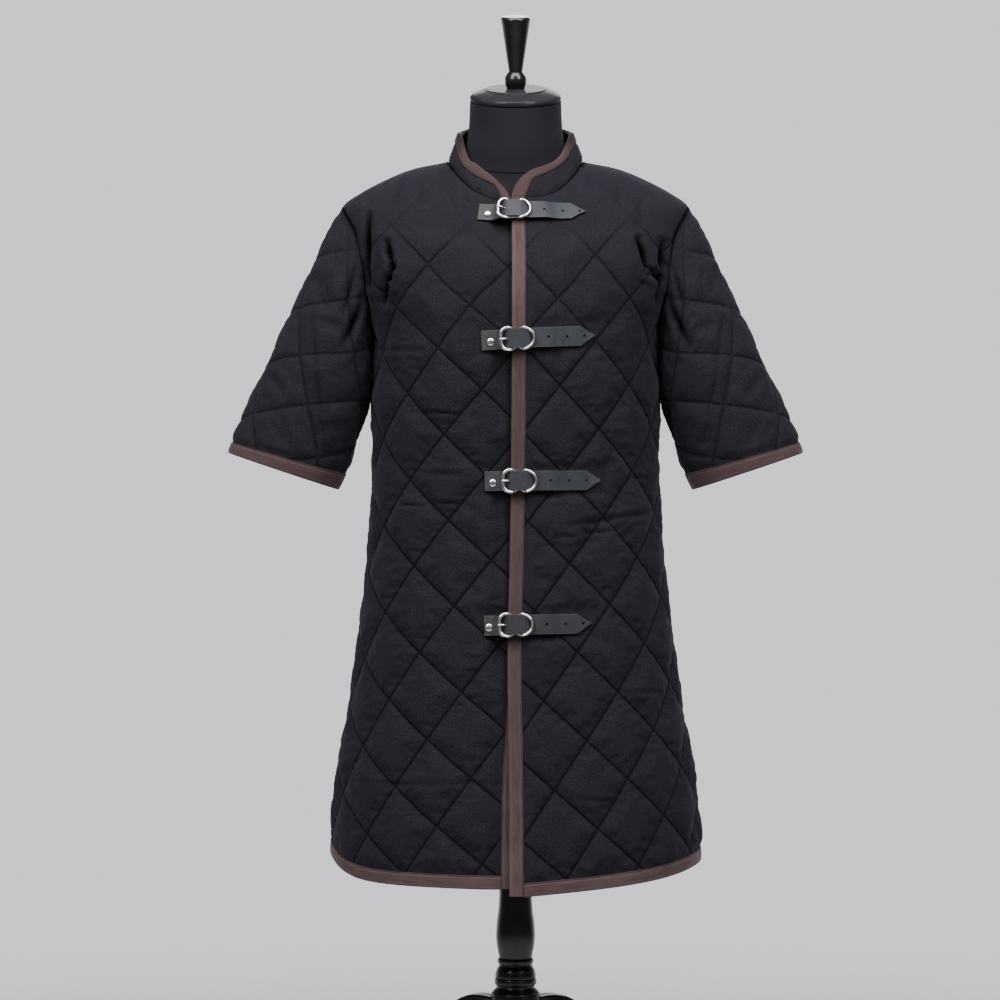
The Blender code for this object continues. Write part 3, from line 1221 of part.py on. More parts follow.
def neck_seat():
    """Where the neck's top lies, and how it leans forward."""
    return Matrix.Translation((0.0, CAP_Y, CAP_Z)) @ Euler((NECK_TILT, 0.0, 0.0)).to_matrix().to_4x4()


def build_form():
    """The jersey-covered torso and neck: rings from the hips to the shoulders, then the seat, then the neck."""
    angles = np.linspace(0, 2 * math.pi, FORM_AROUND, endpoint=False)
    signed = np.where(angles > math.pi, angles - 2 * math.pi, angles)
    rings = [ring_point(FORM, signed, np.full(FORM_AROUND, level)) for level in FORM_LEVELS]
    for level in FORM_SEAT_LEVELS:
        at = np.full(FORM_AROUND, level)
        middle = 1 - smooth_step(np.abs(arc_at(np.abs(signed), at)), 0.045, 0.085)
        inset = FORM_SEAT + (SINK + 2 * BAND_WALL) * middle
        rings.append(torso_point(signed, at) - torso_normal(signed, at) * inset[:, None])
    rings += [ring_point(NECK, signed, np.full(FORM_AROUND, row.level)) for row in NECK]
    flat = [Vector((math.sin(t), -math.cos(t), 0.0)) * NECK_TOP_RADIUS for t in signed]
    rings.append(np.array([tuple(neck_seat() @ p) for p in flat]))
    loft("form_body", rings, JERSEY, 60.0)


def turned(name, profile, around, look, transform=Matrix.Identity(4), lathe_x=0.0):
    turns = np.linspace(0, 2 * math.pi, around, endpoint=False)
    rings = []
    for row in profile:
        ring = [transform @ Vector((lathe_x + row.radius * math.cos(t), row.radius * math.sin(t), row.z))
                for t in turns]
        rings.append([tuple(p) for p in ring])
    return loft(name, rings, look, 40.0)


def build_neck_parts():
    """Cap and finial, on the neck's tilted top."""
    seat = neck_seat()
    above_disc = Matrix.Translation((0.0, 0.0, CAP[-1].z + GAP))
    turned("neck_cap", CAP, 30, LACQUER, seat)
    turned("finial", FINIAL, 14, LACQUER, seat @ above_disc)


def build_leg(name, degrees):
    """A curved leg: rounded sections along its run, ending in a round pad with a flat underside."""
    around = 10
    turns = np.linspace(0, 2 * math.pi, around, endpoint=False) + math.pi / around
    outs = np.array([leg.out for leg in LEGS])
    middle = np.array([leg.z for leg in LEGS])
    run = unit(np.stack([np.gradient(outs), np.gradient(middle)], -1))
    run[0] = (1.0, 0.0)
    rings = []
    for leg, (dx, dz) in zip(LEGS, run):
        up = np.array([-dz, dx]) * leg.half_height
        ring = []
        for t in turns:
            rise = np.sign(math.sin(t)) * abs(math.sin(t)) ** 0.7
            wide = np.sign(math.cos(t)) * abs(math.cos(t)) ** 0.7 * leg.half_width
            ring.append((wide, -(leg.out + up[0] * rise), leg.z + up[1] * rise))
        rings.append(ring)
    turn = Matrix.Rotation(math.radians(degrees), 4, "Z")
    placed = [[tuple(turn @ Vector(p)) for p in ring] for ring in rings]
    leg = loft(name, placed, LACQUER, 50.0)
    foot = (Turn(0.0, FOOT_RADIUS - 0.002), Turn(0.003, FOOT_RADIUS), Turn(0.014, FOOT_RADIUS * 0.95),
            Turn(0.024, FOOT_RADIUS * 0.6))
    pad = turned(name + "_pad", foot, 20, LACQUER, turn @ Matrix.Translation((0.0, -FOOT_OUT, 0.0)))
    pad.hide_render = True
    pad.display_type = "WIRE"
    join = leg.modifiers.new("pad", "BOOLEAN")
    join.operation = "UNION"
    join.solver = "EXACT"
    join.object = pad


# ---------------------------------------------------------------- build
for old in list(bpy.data.objects):
    bpy.data.objects.remove(old)

stand_axis = bpy.data.objects.new("stand_axis", None)
bpy.context.collection.objects.link(stand_axis)

edge_left, hem_left_run = build_front(FRONT_LEFT, HEM_LEFT, EDGE_LEFT)
edge_right, hem_right_run = build_front(FRONT_RIGHT, HEM_RIGHT, EDGE_RIGHT)
hem_back_run = build_back()
folded_tape("binding_front_left", panel_stations(FRONT_LEFT, *edge_left))
folded_tape("binding_front_right", panel_stations(FRONT_RIGHT, *edge_right))

hem_stations = panel_stations(FRONT_LEFT, *hem_left_run)[:-1]
hem_stations += panel_stations(BACK, *hem_back_run)[::-1]
hem_stations += panel_stations(FRONT_RIGHT, *hem_right_run)[:-1][::-1]
folded_tape("binding_hem", hem_stations)

build_sleeve("sleeve_left", 1)
build_sleeve("sleeve_right", -1)
build_collar()

for number, closure in enumerate(CLOSURES, start=1):
    build_strap(f"strap_{number}", closure)
    build_chape(f"chape_{number}", closure)
    build_buckle(f"buckle_{number}", closure)
    build_tongue(f"tongue_{number}", closure)
    build_rivet(f"rivet_{number}", closure)

build_form()
build_neck_parts()
turned("pole", POLE, 24, LACQUER)
for leg_name, leg_turn in zip(LEG_NAMES, LEG_TURNS):
    build_leg(leg_name, leg_turn)

stand_axis.location = (0.0, AXIS_Y, 0.0)
bpy.context.view_layer.update()
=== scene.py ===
import math
from collections import namedtuple

import bmesh
import bpy
import numpy as np
from mathutils import Matrix, Vector
from mathutils.geometry import delaunay_2d_cdt


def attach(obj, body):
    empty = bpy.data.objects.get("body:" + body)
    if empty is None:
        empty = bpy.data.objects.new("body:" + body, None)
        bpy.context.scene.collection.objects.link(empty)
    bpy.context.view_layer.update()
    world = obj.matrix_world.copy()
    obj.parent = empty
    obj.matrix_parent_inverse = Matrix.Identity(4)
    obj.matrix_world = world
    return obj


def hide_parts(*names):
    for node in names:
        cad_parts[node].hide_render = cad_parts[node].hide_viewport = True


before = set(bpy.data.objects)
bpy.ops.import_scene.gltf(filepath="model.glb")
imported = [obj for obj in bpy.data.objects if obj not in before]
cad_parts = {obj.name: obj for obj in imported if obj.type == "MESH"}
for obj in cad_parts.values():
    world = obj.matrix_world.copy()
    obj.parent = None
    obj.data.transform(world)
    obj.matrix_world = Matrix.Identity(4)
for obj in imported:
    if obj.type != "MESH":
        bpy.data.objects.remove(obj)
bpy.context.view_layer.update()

# ================================================================ Stand
# A turned pole on three sawn legs, hardwood under black lacquer. Each leg has a pair of lines moulded along its
# sides and ends in a round pad.
AXIS_Y = 0.047
Turn = namedtuple("Turn", "z radius")
POLE = (
    Turn(0.2050, 0.0200), Turn(0.2150, 0.0290), Turn(0.2350, 0.0335), Turn(0.2350, 0.0335), Turn(0.3000, 0.0335),
    Turn(0.3100, 0.0310), Turn(0.3150, 0.0262), Turn(0.3180, 0.0255), Turn(0.3190, 0.0262), Turn(0.3210, 0.0279),
    Turn(0.3245, 0.0282), Turn(0.3275, 0.0274), Turn(0.3285, 0.0262), Turn(0.3285, 0.0262), Turn(0.3295, 0.0272),
    Turn(0.3340, 0.0270), Turn(0.3390, 0.0255), Turn(0.3440, 0.0228), Turn(0.3465, 0.0222), Turn(0.3475, 0.0228),
    Turn(0.3495, 0.0240), Turn(0.3525, 0.0241), Turn(0.3545, 0.0230), Turn(0.3552, 0.0219), Turn(0.3570, 0.0221),
    Turn(0.3720, 0.0250), Turn(0.3860, 0.0262), Turn(0.4020, 0.0252), Turn(0.4400, 0.0218), Turn(0.5600, 0.0215),
    Turn(0.7047, 0.0215),
)
Leg = namedtuple("Leg", "out z half_height half_width")
LEGS = (
    Leg(0.0338, 0.268, 0.034, 0.015), Leg(0.0620, 0.270, 0.032, 0.016), Leg(0.0920, 0.252, 0.028, 0.016),
    Leg(0.1200, 0.215, 0.025, 0.015), Leg(0.1430, 0.165, 0.021, 0.014), Leg(0.1650, 0.112, 0.018, 0.013),
    Leg(0.1950, 0.064, 0.015, 0.013), Leg(0.2300, 0.034, 0.013, 0.014), Leg(0.2600, 0.020, 0.012, 0.018),
)
PAD = (Turn(0.0, 0.0205), Turn(0.001, 0.0218), Turn(0.004, 0.0230), Turn(0.014, 0.0218), Turn(0.020, 0.0180),
       Turn(0.024, 0.0125), Turn(0.025, 0.0040))
PAD_OUT = 0.262
LEG_HALF_WIDTH, LEG_HALF_HEIGHT = 0.015, 0.025
# The moulding worked into both sides of a leg: distance in from the last line, depth.
MOULDING = ((0.0028, 0.0), (0.0008, -0.0011), (0.0009, 0.0011), (0.0022, 0.0), (0.0008, -0.0009), (0.0008, 0.0009))


class Socket:
    """One output of a material's nodes. Arithmetic on it adds Math nodes; add() makes any other node."""

    def __init__(self, tree, output=None):
        self.tree = tree
        self.output = output

    def add(self, kind, settings=None, inputs=None, output=0):
        made = self.tree.nodes.new(kind)
        for key, value in (settings or {}).items():
            setattr(made, key, value)
        for key, value in (inputs or {}).items():
            self.feed(made.inputs[key], value)
        return Socket(self.tree, made.outputs[output])

    def feed(self, socket, value):
        if isinstance(value, Socket):
            self.tree.links.new(value.output, socket)
        elif isinstance(value, tuple) and len(value) == 3 and socket.type == "RGBA":
            socket.default_value = (*value, 1.0)
        else:
            socket.default_value = value

    def math(self, operation, *values):
        return self.add("ShaderNodeMath", {"operation": operation}, dict(enumerate((self, *values))))

    def __add__(self, other):
        return self.math("ADD", other)

    __radd__ = __add__

    def __mul__(self, other):
        return self.math("MULTIPLY", other)

    __rmul__ = __mul__

    def __sub__(self, other):
        return self.math("SUBTRACT", other)

    def __rsub__(self, other):
        return self.add("ShaderNodeMath", {"operation": "SUBTRACT"}, {0: other, 1: self})

    def __truediv__(self, other):
        return self.math("DIVIDE", other)

    def step(self, low, high):
        """0 below low and 1 above high, smooth between."""
        settings = {"interpolation_type": "SMOOTHSTEP"}
        return self.add("ShaderNodeMapRange", settings, {"Value": self, "From Min": low, "From Max": high})

    def split(self):
        return [self.add("ShaderNodeSeparateXYZ", {}, {0: self}, k) for k in range(3)]

    def place(self):
        """Where a point lies on its object."""
        return self.add("ShaderNodeTexCoord", output=3)

    def flat_map(self, name):
        return self.add("ShaderNodeUVMap", {"uv_map": name})

    def stretched(self, *scale):
        return self.add("ShaderNodeMapping", {}, {0: self, 3: scale})

    def noise(self, scale, detail=2.0, roughness=0.5):
        inputs = {"Vector": self, "Scale": scale, "Detail": detail, "Roughness": roughness}
        return self.add("ShaderNodeTexNoise", {}, inputs)

    def mix(self, first, second):
        """Colour between two others, by this value."""
        return self.add("ShaderNodeMix", {"data_type": "RGBA"}, {0: self, 6: first, 7: second}, 2)


def finish(name, **fixed):
    """A new material, its shader and a socket to start its pattern from."""
    made = bpy.data.materials.new(name)
    made.use_nodes = True
    shader = made.node_tree.nodes["Principled BSDF"]
    for key, value in fixed.items():
        shader.inputs[key.replace("_", " ")].default_value = value
    return made, shader, Socket(made.node_tree)


def pattern(start, shader, colour, roughness, height, distance):
    """Feed a shader its colour, its roughness and its relief, as a height in units of a distance in metres."""
    start.feed(shader.inputs["Base Color"], colour)
    start.feed(shader.inputs["Roughness"], roughness)
    bump = start.add("ShaderNodeBump", {}, {"Height": height, "Distance": distance})
    start.feed(shader.inputs["Normal"], bump)


def blended(start, shader, share, other):
    """Blend a material's shader with another one, by a share."""
    both = start.add("ShaderNodeMixShader", {}, {0: share, 1: Socket(start.tree, shader.outputs[0]), 2: other})
    start.feed(start.tree.nodes["Material Output"].inputs["Surface"], both)


def curve_through(knots, steps):
    """Places on a smooth curve through the knots, which are numbers, points or whole rings of points."""
    knots = np.concatenate([knots[:1], knots, knots[-1:]])
    made = []
    for a, b, c, d in zip(knots, knots[1:], knots[2:], knots[3:]):
        for t in np.arange(steps) / steps:
            made.append((2 * b + (c - a) * t + (2 * a - 5 * b + 4 * c - d) * t**2 + (3 * b - a - 3 * c + d) * t**3) / 2)
    return np.array(made + [knots[-1]])


def rounded(rows, steps):
    """More rows on a smooth curve through a profile. A row given twice makes a crisp corner."""
    made = curve_through(np.array(rows, float), steps)
    return made[np.append(True, np.linalg.norm(np.diff(made, axis=0), axis=1) > 1e-6)]


def reach_along(points):
    """Distance of each point of a line from the line's start."""
    return np.append(0.0, np.cumsum(np.linalg.norm(np.diff(points, axis=0), axis=1)))


def linked(name, mesh):
    piece = bpy.data.objects.new(name, mesh)
    bpy.context.collection.objects.link(piece)
    return piece


def turned(name, rows, sides, steps=5, place=(0, AXIS_Y, 0)):
    """A piece turned on a lathe: a disc drawn up through the rows of its profile."""
    rows = rounded(rows, steps)
    bpy.ops.object.select_all(action="DESELECT")
    bpy.ops.mesh.primitive_circle_add(vertices=sides, radius=rows[0][1], fill_type="NGON",
                                      location=(0, 0, rows[0][0]))
    piece = bpy.context.object
    piece.name = name
    bpy.ops.object.mode_set(mode="EDIT")
    bpy.ops.mesh.select_all(action="SELECT")
    for low, high in zip(rows, rows[1:]):
        bpy.ops.mesh.extrude_region_move(TRANSFORM_OT_translate={"value": (0, 0, high[0] - low[0])})
        ratio = high[1] / low[1]
        bpy.ops.transform.resize(value=(ratio, ratio, 1), center_override=(0, 0, high[0]))
    bpy.ops.mesh.select_all(action="SELECT")
    bpy.ops.mesh.normals_make_consistent(inside=False)
    bpy.ops.object.mode_set(mode="OBJECT")
    bpy.ops.object.transform_apply(location=True, rotation=False, scale=False)
    piece.location = place
    bpy.ops.object.transform_apply(location=True, rotation=False, scale=False)
    bpy.ops.object.shade_smooth_by_angle(angle=math.radians(42))
    return piece


def settle(piece, slot, made, *nodes):
    """Give a finished piece its material, its body and the solids that it stands for."""
    piece.data.materials.clear()
    piece.data.materials.append(made)
    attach(piece, "root")
    if nodes:
        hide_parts(*nodes)


lacquer, shader, start = finish("black_lacquer", Coat_Weight=0.40, Coat_Roughness=0.14, Specular_IOR_Level=0.30)
place = start.place()
grain = place.stretched(60.0, 60.0, 7.0).noise(9.0, 4.0)
smear = place.noise(28.0, 3.0)
speck = place.noise(900.0, 1.0).step(0.73, 0.78)
base = smear.step(0.35, 0.7).mix((0.0040, 0.0040, 0.0046), (0.0075, 0.0075, 0.0082))
pattern(start, shader, (speck * 0.25).mix(base, (0.07, 0.07, 0.075)), 0.24 + smear * 0.16,
        grain * 0.35 + place.noise(14.0, 2.0) * 1.6, 0.00025)

settle(turned("turned_pole", POLE, 64), "lacquer", lacquer, "pole")

rows = np.array([(row.out, row.z, row.half_width, row.half_height) for row in LEGS])
shape = rounded(np.column_stack([reach_along(rows[:, :2]), rows]), 7)
bpy.ops.object.select_all(action="DESELECT")
bpy.ops.mesh.primitive_plane_add(size=2, location=(0, 0, 0), rotation=(math.pi / 2, 0, 0))
leg = bpy.context.object
leg.name = "sawn_leg"
bpy.ops.object.transform_apply(location=True, rotation=True, scale=False)
bpy.ops.object.mode_set(mode="EDIT")
bpy.ops.mesh.select_all(action="SELECT")
bpy.ops.transform.resize(value=(LEG_HALF_WIDTH, 1, LEG_HALF_HEIGHT), center_override=(0, 0, 0))
bpy.ops.mesh.bevel(offset=0.006, segments=4, affect="VERTICES")
for low, high in zip(shape[:-1, 0], shape[1:, 0]):
    bpy.ops.mesh.extrude_region_move(TRANSFORM_OT_translate={"value": (0, low - high, 0)})
bpy.ops.mesh.select_all(action="SELECT")
bpy.ops.mesh.normals_make_consistent(inside=False)
for side in (1, -1):
    bpy.ops.mesh.select_all(action="DESELECT")
    work = bmesh.from_edit_mesh(leg.data)
    for face in work.faces:
        face.select = face.normal.x * side > 0.99
    work.select_flush_mode()
    bmesh.update_edit_mesh(leg.data)
    for thickness, depth in MOULDING:
        bpy.ops.mesh.inset(thickness=thickness, depth=depth)
bpy.ops.object.mode_set(mode="OBJECT")
ahead = np.gradient(shape[:, 1:3], axis=0)
ahead = (ahead / np.linalg.norm(ahead, axis=1, keepdims=True)).T
for vertex in leg.data.vertices:
    out, level, wide, tall, along, up = [np.interp(-vertex.co.y, shape[:, 0], v) for v in (*shape[:, 1:].T, *ahead)]
    rise = vertex.co.z * tall / LEG_HALF_HEIGHT
    vertex.co = (vertex.co.x * wide / LEG_HALF_WIDTH, -(out - up * rise), level + along * rise)
bpy.ops.object.shade_smooth_by_angle(angle=math.radians(32))
turned("leg_pad", PAD, 40, 4, (0, -PAD_OUT, 0))
leg.select_set(True)
bpy.context.view_layer.objects.active = leg
bpy.ops.object.join()
for name, degrees in (("leg_front", 0.0), ("leg_left", 120.0), ("leg_right", 240.0)):
    piece = linked("sawn_" + name, leg.data.copy())
    piece.data.transform(Matrix.Translation((0, AXIS_Y, 0)) @ Matrix.Rotation(math.radians(degrees), 4, "Z"))
    settle(piece, "lacquer", lacquer, name)
bpy.data.objects.remove(leg)

# ================================================================ Form
# A firm torso and neck covered in dark knitted jersey, with a seam round the root of the neck. It stands on the
# pole and carries the coat on its shoulders.
Ring = namedtuple("Ring", "level side_z front_z back_z half_width front back square bow", defaults=(2.0,))


def level_ring(level, *rest):
    return Ring(level, level, level, level, *rest)


FORM = (
    level_ring(0.705, 0.1150, 0.0800, 0.0850, 2.1),
    level_ring(0.712, 0.1500, 0.1070, 0.1100, 2.1),
    level_ring(0.740, 0.1690, 0.1230, 0.1260, 2.1),
    level_ring(0.820, 0.1740, 0.1270, 0.1300, 2.1),
    level_ring(0.920, 0.1620, 0.1210, 0.1220, 2.1),
    level_ring(1.020, 0.1500, 0.1170, 0.1130, 2.1),
    level_ring(1.120, 0.1580, 0.1230, 0.1170, 2.1),
    level_ring(1.200, 0.1690, 0.1270, 0.1220, 2.1),
    Ring(1.260, 1.262, 1.246, 1.252, 0.1760, 0.1220, 0.1230, 2.1),
    Ring(1.320, 1.322, 1.283, 1.298, 0.1790, 0.1120, 0.1180, 2.0),
    Ring(1.350, 1.352, 1.298, 1.324, 0.1760, 0.0980, 0.1110, 2.0),
)
FORM_LEVELS = (0.705, 0.712, 0.74, 0.82, 0.92, 1.02, 1.11, 1.20, 1.26, 1.31, 1.35)
NECK = (
    Ring(1.0, 1.4140, 1.3700, 1.4270, 0.0725, 0.0670, 0.0640, 2.0),
    Ring(2.0, 1.4240, 1.3950, 1.4360, 0.0665, 0.0650, 0.0575, 2.0),
    Ring(3.0, 1.4400, 1.4200, 1.4480, 0.0650, 0.0680, 0.0550, 2.0),
    Ring(4.0, 1.4620, 1.4480, 1.4720, 0.0622, 0.0710, 0.0500, 2.0),
)
NECK_TOP_RADIUS, NECK_TILT, CAP_Y, CAP_Z = 0.0605, math.radians(16), -0.0150, 1.4952
SEAT_DEPTH = 0.0079  # from the coat's sewing surface down to the form's shoulders
SEAT_LEVELS = (1.415, 1.430, 1.450, 1.470, 1.490)
SINK = 0.0058  # the right front lies this much deeper near its edge, to pass under the left one
FRONT_DEPTH = SINK + 0.0022  # how much deeper the form lies under the lap
# The coat's sewing surface, through its stitch lines, as rings from the hem to the neckline.
TORSO = (
    level_ring(0.430, 0.2475, 0.1900, 0.1860, 2.15),
    level_ring(0.520, 0.2445, 0.1850, 0.1800, 2.15),
    level_ring(0.600, 0.2365, 0.1780, 0.1730, 2.15),
    level_ring(0.700, 0.2190, 0.1680, 0.1640, 2.15),
    level_ring(0.800, 0.2055, 0.1590, 0.1560, 2.20),
    level_ring(0.900, 0.1945, 0.1510, 0.1480, 2.20),
    level_ring(1.000, 0.1890, 0.1470, 0.1400, 2.20),
    level_ring(1.100, 0.1880, 0.1490, 0.1380, 2.20),
    level_ring(1.190, 0.1890, 0.1500, 0.1410, 2.20),
    Ring(1.250, 1.252, 1.244, 1.248, 0.2140, 0.1430, 0.1420, 2.15),
    Ring(1.310, 1.315, 1.286, 1.300, 0.2270, 0.1290, 0.1370, 2.10),
    Ring(1.355, 1.356, 1.314, 1.337, 0.2300, 0.1140, 0.1270, 2.00),
    Ring(1.385, 1.374, 1.325, 1.360, 0.2060, 0.1080, 0.1180, 2.00),
    Ring(1.430, 1.399, 1.338, 1.388, 0.1560, 0.1010, 0.1040, 2.00, 2.2),
    Ring(1.510, 1.416, 1.359, 1.428, 0.0900, 0.0880, 0.0780, 2.00, 3.0),
)
HEM_END, NECK_LEVEL = 0.43, 1.51
ANGLE_COUNT, LEVEL_COUNT, FORM_SIDES = 181, 541, 144


def column(rows, name, at):
    """One named column of a table, read on a smooth curve at the given places along its first column."""
    knots = np.array([row[0] for row in rows], float)
    values = np.array([getattr(row, name) for row in rows], float)
    slopes = np.gradient(values, knots)
    at = np.clip(np.asarray(at, float), knots[0], knots[-1])
    left = np.clip(np.searchsorted(knots, at) - 1, 0, len(knots) - 2)
    width = knots[left + 1] - knots[left]
    t = (at - knots[left]) / width
    return ((2 * t**3 - 3 * t**2 + 1) * values[left] + (t**3 - 2 * t**2 + t) * width * slopes[left]
            + (3 * t**2 - 2 * t**3) * values[left + 1] + (t**3 - t**2) * width * slopes[left + 1])


def smooth_step(value, low, high):
    t = np.clip((np.asarray(value, float) - low) / (high - low), 0.0, 1.0)
    return t * t * (3 - 2 * t)


def unit(vectors):
    return vectors / np.maximum(np.linalg.norm(vectors, axis=-1, keepdims=True), 1e-12)


ANGLES = np.linspace(0.0, math.pi, ANGLE_COUNT)


def ring_point(rows, angle, level):
    """Point of a table of rings: angle 0 at centre front, growing towards the wearer's left."""
    angle, level = np.broadcast_arrays(np.asarray(angle, float), np.asarray(level, float))
    sine, cosine = np.sin(angle), np.cos(angle)
    ahead = cosine > 0
    power = 2.0 / column(rows, "square", level)
    depth = np.where(ahead, -column(rows, "front", level), column(rows, "back", level))
    middle_z = np.where(ahead, column(rows, "front_z", level), column(rows, "back_z", level))
    side_z = column(rows, "side_z", level)
    x = column(rows, "half_width", level) * np.sign(sine) * np.abs(sine) ** power
    y = AXIS_Y + depth * np.abs(cosine) ** power
    z = middle_z + (side_z - middle_z) * np.abs(sine) ** column(rows, "bow", level)
    return np.stack([x, y, z], -1)


def torso_point(angle, level):
    return ring_point(TORSO, angle, level)


def torso_normal(angle, level):
    step = 1e-3
    level = np.clip(level, TORSO[0].level + step, NECK_LEVEL - step)
    across = torso_point(angle + step, level) - torso_point(angle - step, level)
    up = torso_point(angle, level + step) - torso_point(angle, level - step)
    return unit(np.cross(across, up))


RING_LEVELS = np.linspace(HEM_END, NECK_LEVEL, LEVEL_COUNT)
RING_STEPS = np.linalg.norm(np.diff(torso_point(ANGLES[None, :], RING_LEVELS[:, None]), axis=1), axis=2)
RING_ARCS = np.hstack([np.zeros((LEVEL_COUNT, 1)), np.cumsum(RING_STEPS, axis=1)])


def ring_arcs(level):
    """Arc from centre front to each of ANGLES, one row for each level."""
    place = (np.clip(np.atleast_1d(level), HEM_END, NECK_LEVEL) - HEM_END) / (RING_LEVELS[1] - RING_LEVELS[0])
    low = np.clip(place.astype(int), 0, LEVEL_COUNT - 2)
    part = (place - low)[:, None]
    return RING_ARCS[low] * (1 - part) + RING_ARCS[low + 1] * part


def angle_at(arc, level, from_back=False):
    """Angle of the point that lies arc from centre front, or from centre back."""
    arc, level = np.broadcast_arrays(np.asarray(arc, float), np.asarray(level, float))
    arcs = ring_arcs(level.ravel())
    reach = np.abs(arc.ravel())
    if from_back:
        reach = arcs[:, -1] - reach
    angle = np.array([np.interp(r, row, ANGLES) for r, row in zip(reach, arcs)]).reshape(arc.shape)
    return np.where(arc < 0, -angle, angle)


def arc_at(angle, level, from_back=False):
    angle, level = np.broadcast_arrays(np.asarray(angle, float), np.asarray(level, float))
    arcs = ring_arcs(level.ravel())
    arc = np.array([np.interp(a, ANGLES, row) for a, row in zip(angle.ravel(), arcs)])
    return (arcs[:, -1] - arc if from_back else arc).reshape(angle.shape)


def meshed(name, points, faces, materials, maps=None, angle=60):
    """A finished object from points and faces, with one map for each kind of flat coordinate."""
    mesh = bpy.data.meshes.new(name)
    mesh.from_pydata(points.tolist(), [], [list(face) for face in faces])
    corners = np.empty(len(mesh.loops), int)
    mesh.loops.foreach_get("vertex_index", corners)
    for map_name, values in (maps or {}).items():
        layer = mesh.uv_layers.new(name=map_name)
        layer.data.foreach_set("uv", np.asarray(values, float)[corners].ravel())
    work = bmesh.new()
    work.from_mesh(mesh)
    bmesh.ops.remove_doubles(work, verts=work.verts, dist=2e-6)
    bmesh.ops.recalc_face_normals(work, faces=work.faces)
    work.to_mesh(mesh)
    work.free()
    for made in materials:
        mesh.materials.append(made)
    mesh.shade_smooth()
    mesh.set_sharp_from_angle(angle=math.radians(angle))
    return linked(name, mesh)


def tube_faces(rows, around, closed=False):
    """Quads between rings of points, joined end to start where closed."""
    faces = []
    for row in range(rows if closed else rows - 1):
        low, high = row * around, (row + 1) % rows * around
        faces += [(low + k, low + (k + 1) % around, high + (k + 1) % around, high + k) for k in range(around)]
    return faces


def end_faces(rows, around):
    return [range(around), range((rows - 1) * around, rows * around)]


jersey, shader, start = finish("dark_jersey", Sheen_Weight=0.05, Sheen_Roughness=0.5, Sheen_Tint=(0.60, 0.62, 0.75, 1),
                                Specular_IOR_Level=0.12)
place = start.place()
x, y, z = place.split()
around = x.math("ARCTAN2", y - AXIS_Y) * 0.065
wale = (around * (math.tau / 0.0011)).math("SINE")
course = (z * (math.tau / 0.0014) + wale * 0.8).math("SINE")
from_seam = ((z - 1.3930 - (y - AXIS_Y + 0.068) * 0.36) * 0.95).math("ABSOLUTE")
seam = 1 - from_seam.step(0.0004, 0.0011)
cloud = place.noise(22.0, 3.0)
base = cloud.step(0.3, 0.7).mix((0.0080, 0.0077, 0.0102), (0.0118, 0.0113, 0.0146))
base = (wale * 0.25 + course * 0.25 + 0.5).mix(base, (0.019, 0.019, 0.023))
pattern(start, shader, (seam * 0.85).mix(base, (0.002, 0.002, 0.003)), 0.84 + cloud * 0.1,
        wale * 0.18 + course * 0.22 + place.noise(1500.0, 2.0) * 0.4 - seam * 3.0, 0.0003)

angles = np.linspace(0, math.tau, FORM_SIDES, endpoint=False)
angles = np.where(angles > math.pi, angles - math.tau, angles)
rings = [ring_point(FORM, angles, level) for level in FORM_LEVELS]
for level in SEAT_LEVELS:
    middle = 1 - smooth_step(arc_at(np.abs(angles), level), 0.045, 0.085)
    inset = SEAT_DEPTH + FRONT_DEPTH * middle
    rings.append(torso_point(angles, level) - torso_normal(angles, level) * inset[:, None])
rings += [ring_point(NECK, angles, row.level) for row in NECK]
seat = Matrix.Translation((0, AXIS_Y + CAP_Y, CAP_Z)) @ Matrix.Rotation(NECK_TILT, 4, "X")
rings.append([tuple(seat @ (Vector((math.sin(t), -math.cos(t), 0)) * NECK_TOP_RADIUS)) for t in angles])
fine = curve_through(np.array(rings), 5)
faces = tube_faces(len(fine), FORM_SIDES) + end_faces(len(fine), FORM_SIDES)
body = meshed("jersey_form", fine.reshape(-1, 3), faces, [jersey])
settle(body, "jersey", jersey, "form_body")

# ================================================================ Neck cap and finial
# A turned cap, domed to a raised disc, screwed on to the top of the neck, and a turned finial that is the form's
# handle, a knob under a tapering stem. Both are in the stand's black lacquer.
CAP = (
    Turn(0.0003, 0.0560), Turn(0.0003, 0.0582), Turn(0.0011, 0.0596), Turn(0.0026, 0.0604), Turn(0.0042, 0.0606),
    Turn(0.0058, 0.0604), Turn(0.0072, 0.0597), Turn(0.0086, 0.0585), Turn(0.0100, 0.0565), Turn(0.0112, 0.0540),
    Turn(0.0127, 0.0507), Turn(0.0140, 0.0470), Turn(0.0151, 0.0434), Turn(0.0156, 0.0415), Turn(0.0156, 0.0415),
    Turn(0.0163, 0.0411), Turn(0.0167, 0.0402), Turn(0.0169, 0.0380), Turn(0.0171, 0.0300), Turn(0.0171, 0.0140),
)
FINIAL = (
    Turn(0.0000, 0.0105), Turn(0.0004, 0.0119), Turn(0.0020, 0.0125), Turn(0.0045, 0.0134), Turn(0.0075, 0.0142),
    Turn(0.0106, 0.0145), Turn(0.0136, 0.0141), Turn(0.0165, 0.0129), Turn(0.0190, 0.0113), Turn(0.0208, 0.0099),
    Turn(0.0217, 0.0092), Turn(0.0228, 0.0092), Turn(0.0400, 0.0118), Turn(0.0650, 0.0155), Turn(0.0860, 0.0187),
    Turn(0.0907, 0.0194), Turn(0.0925, 0.0193), Turn(0.0939, 0.0185), Turn(0.0947, 0.0170), Turn(0.0950, 0.0145),
    Turn(0.0951, 0.0060),
)
FINIAL_LIFT = 0.0173  # over the neck's top

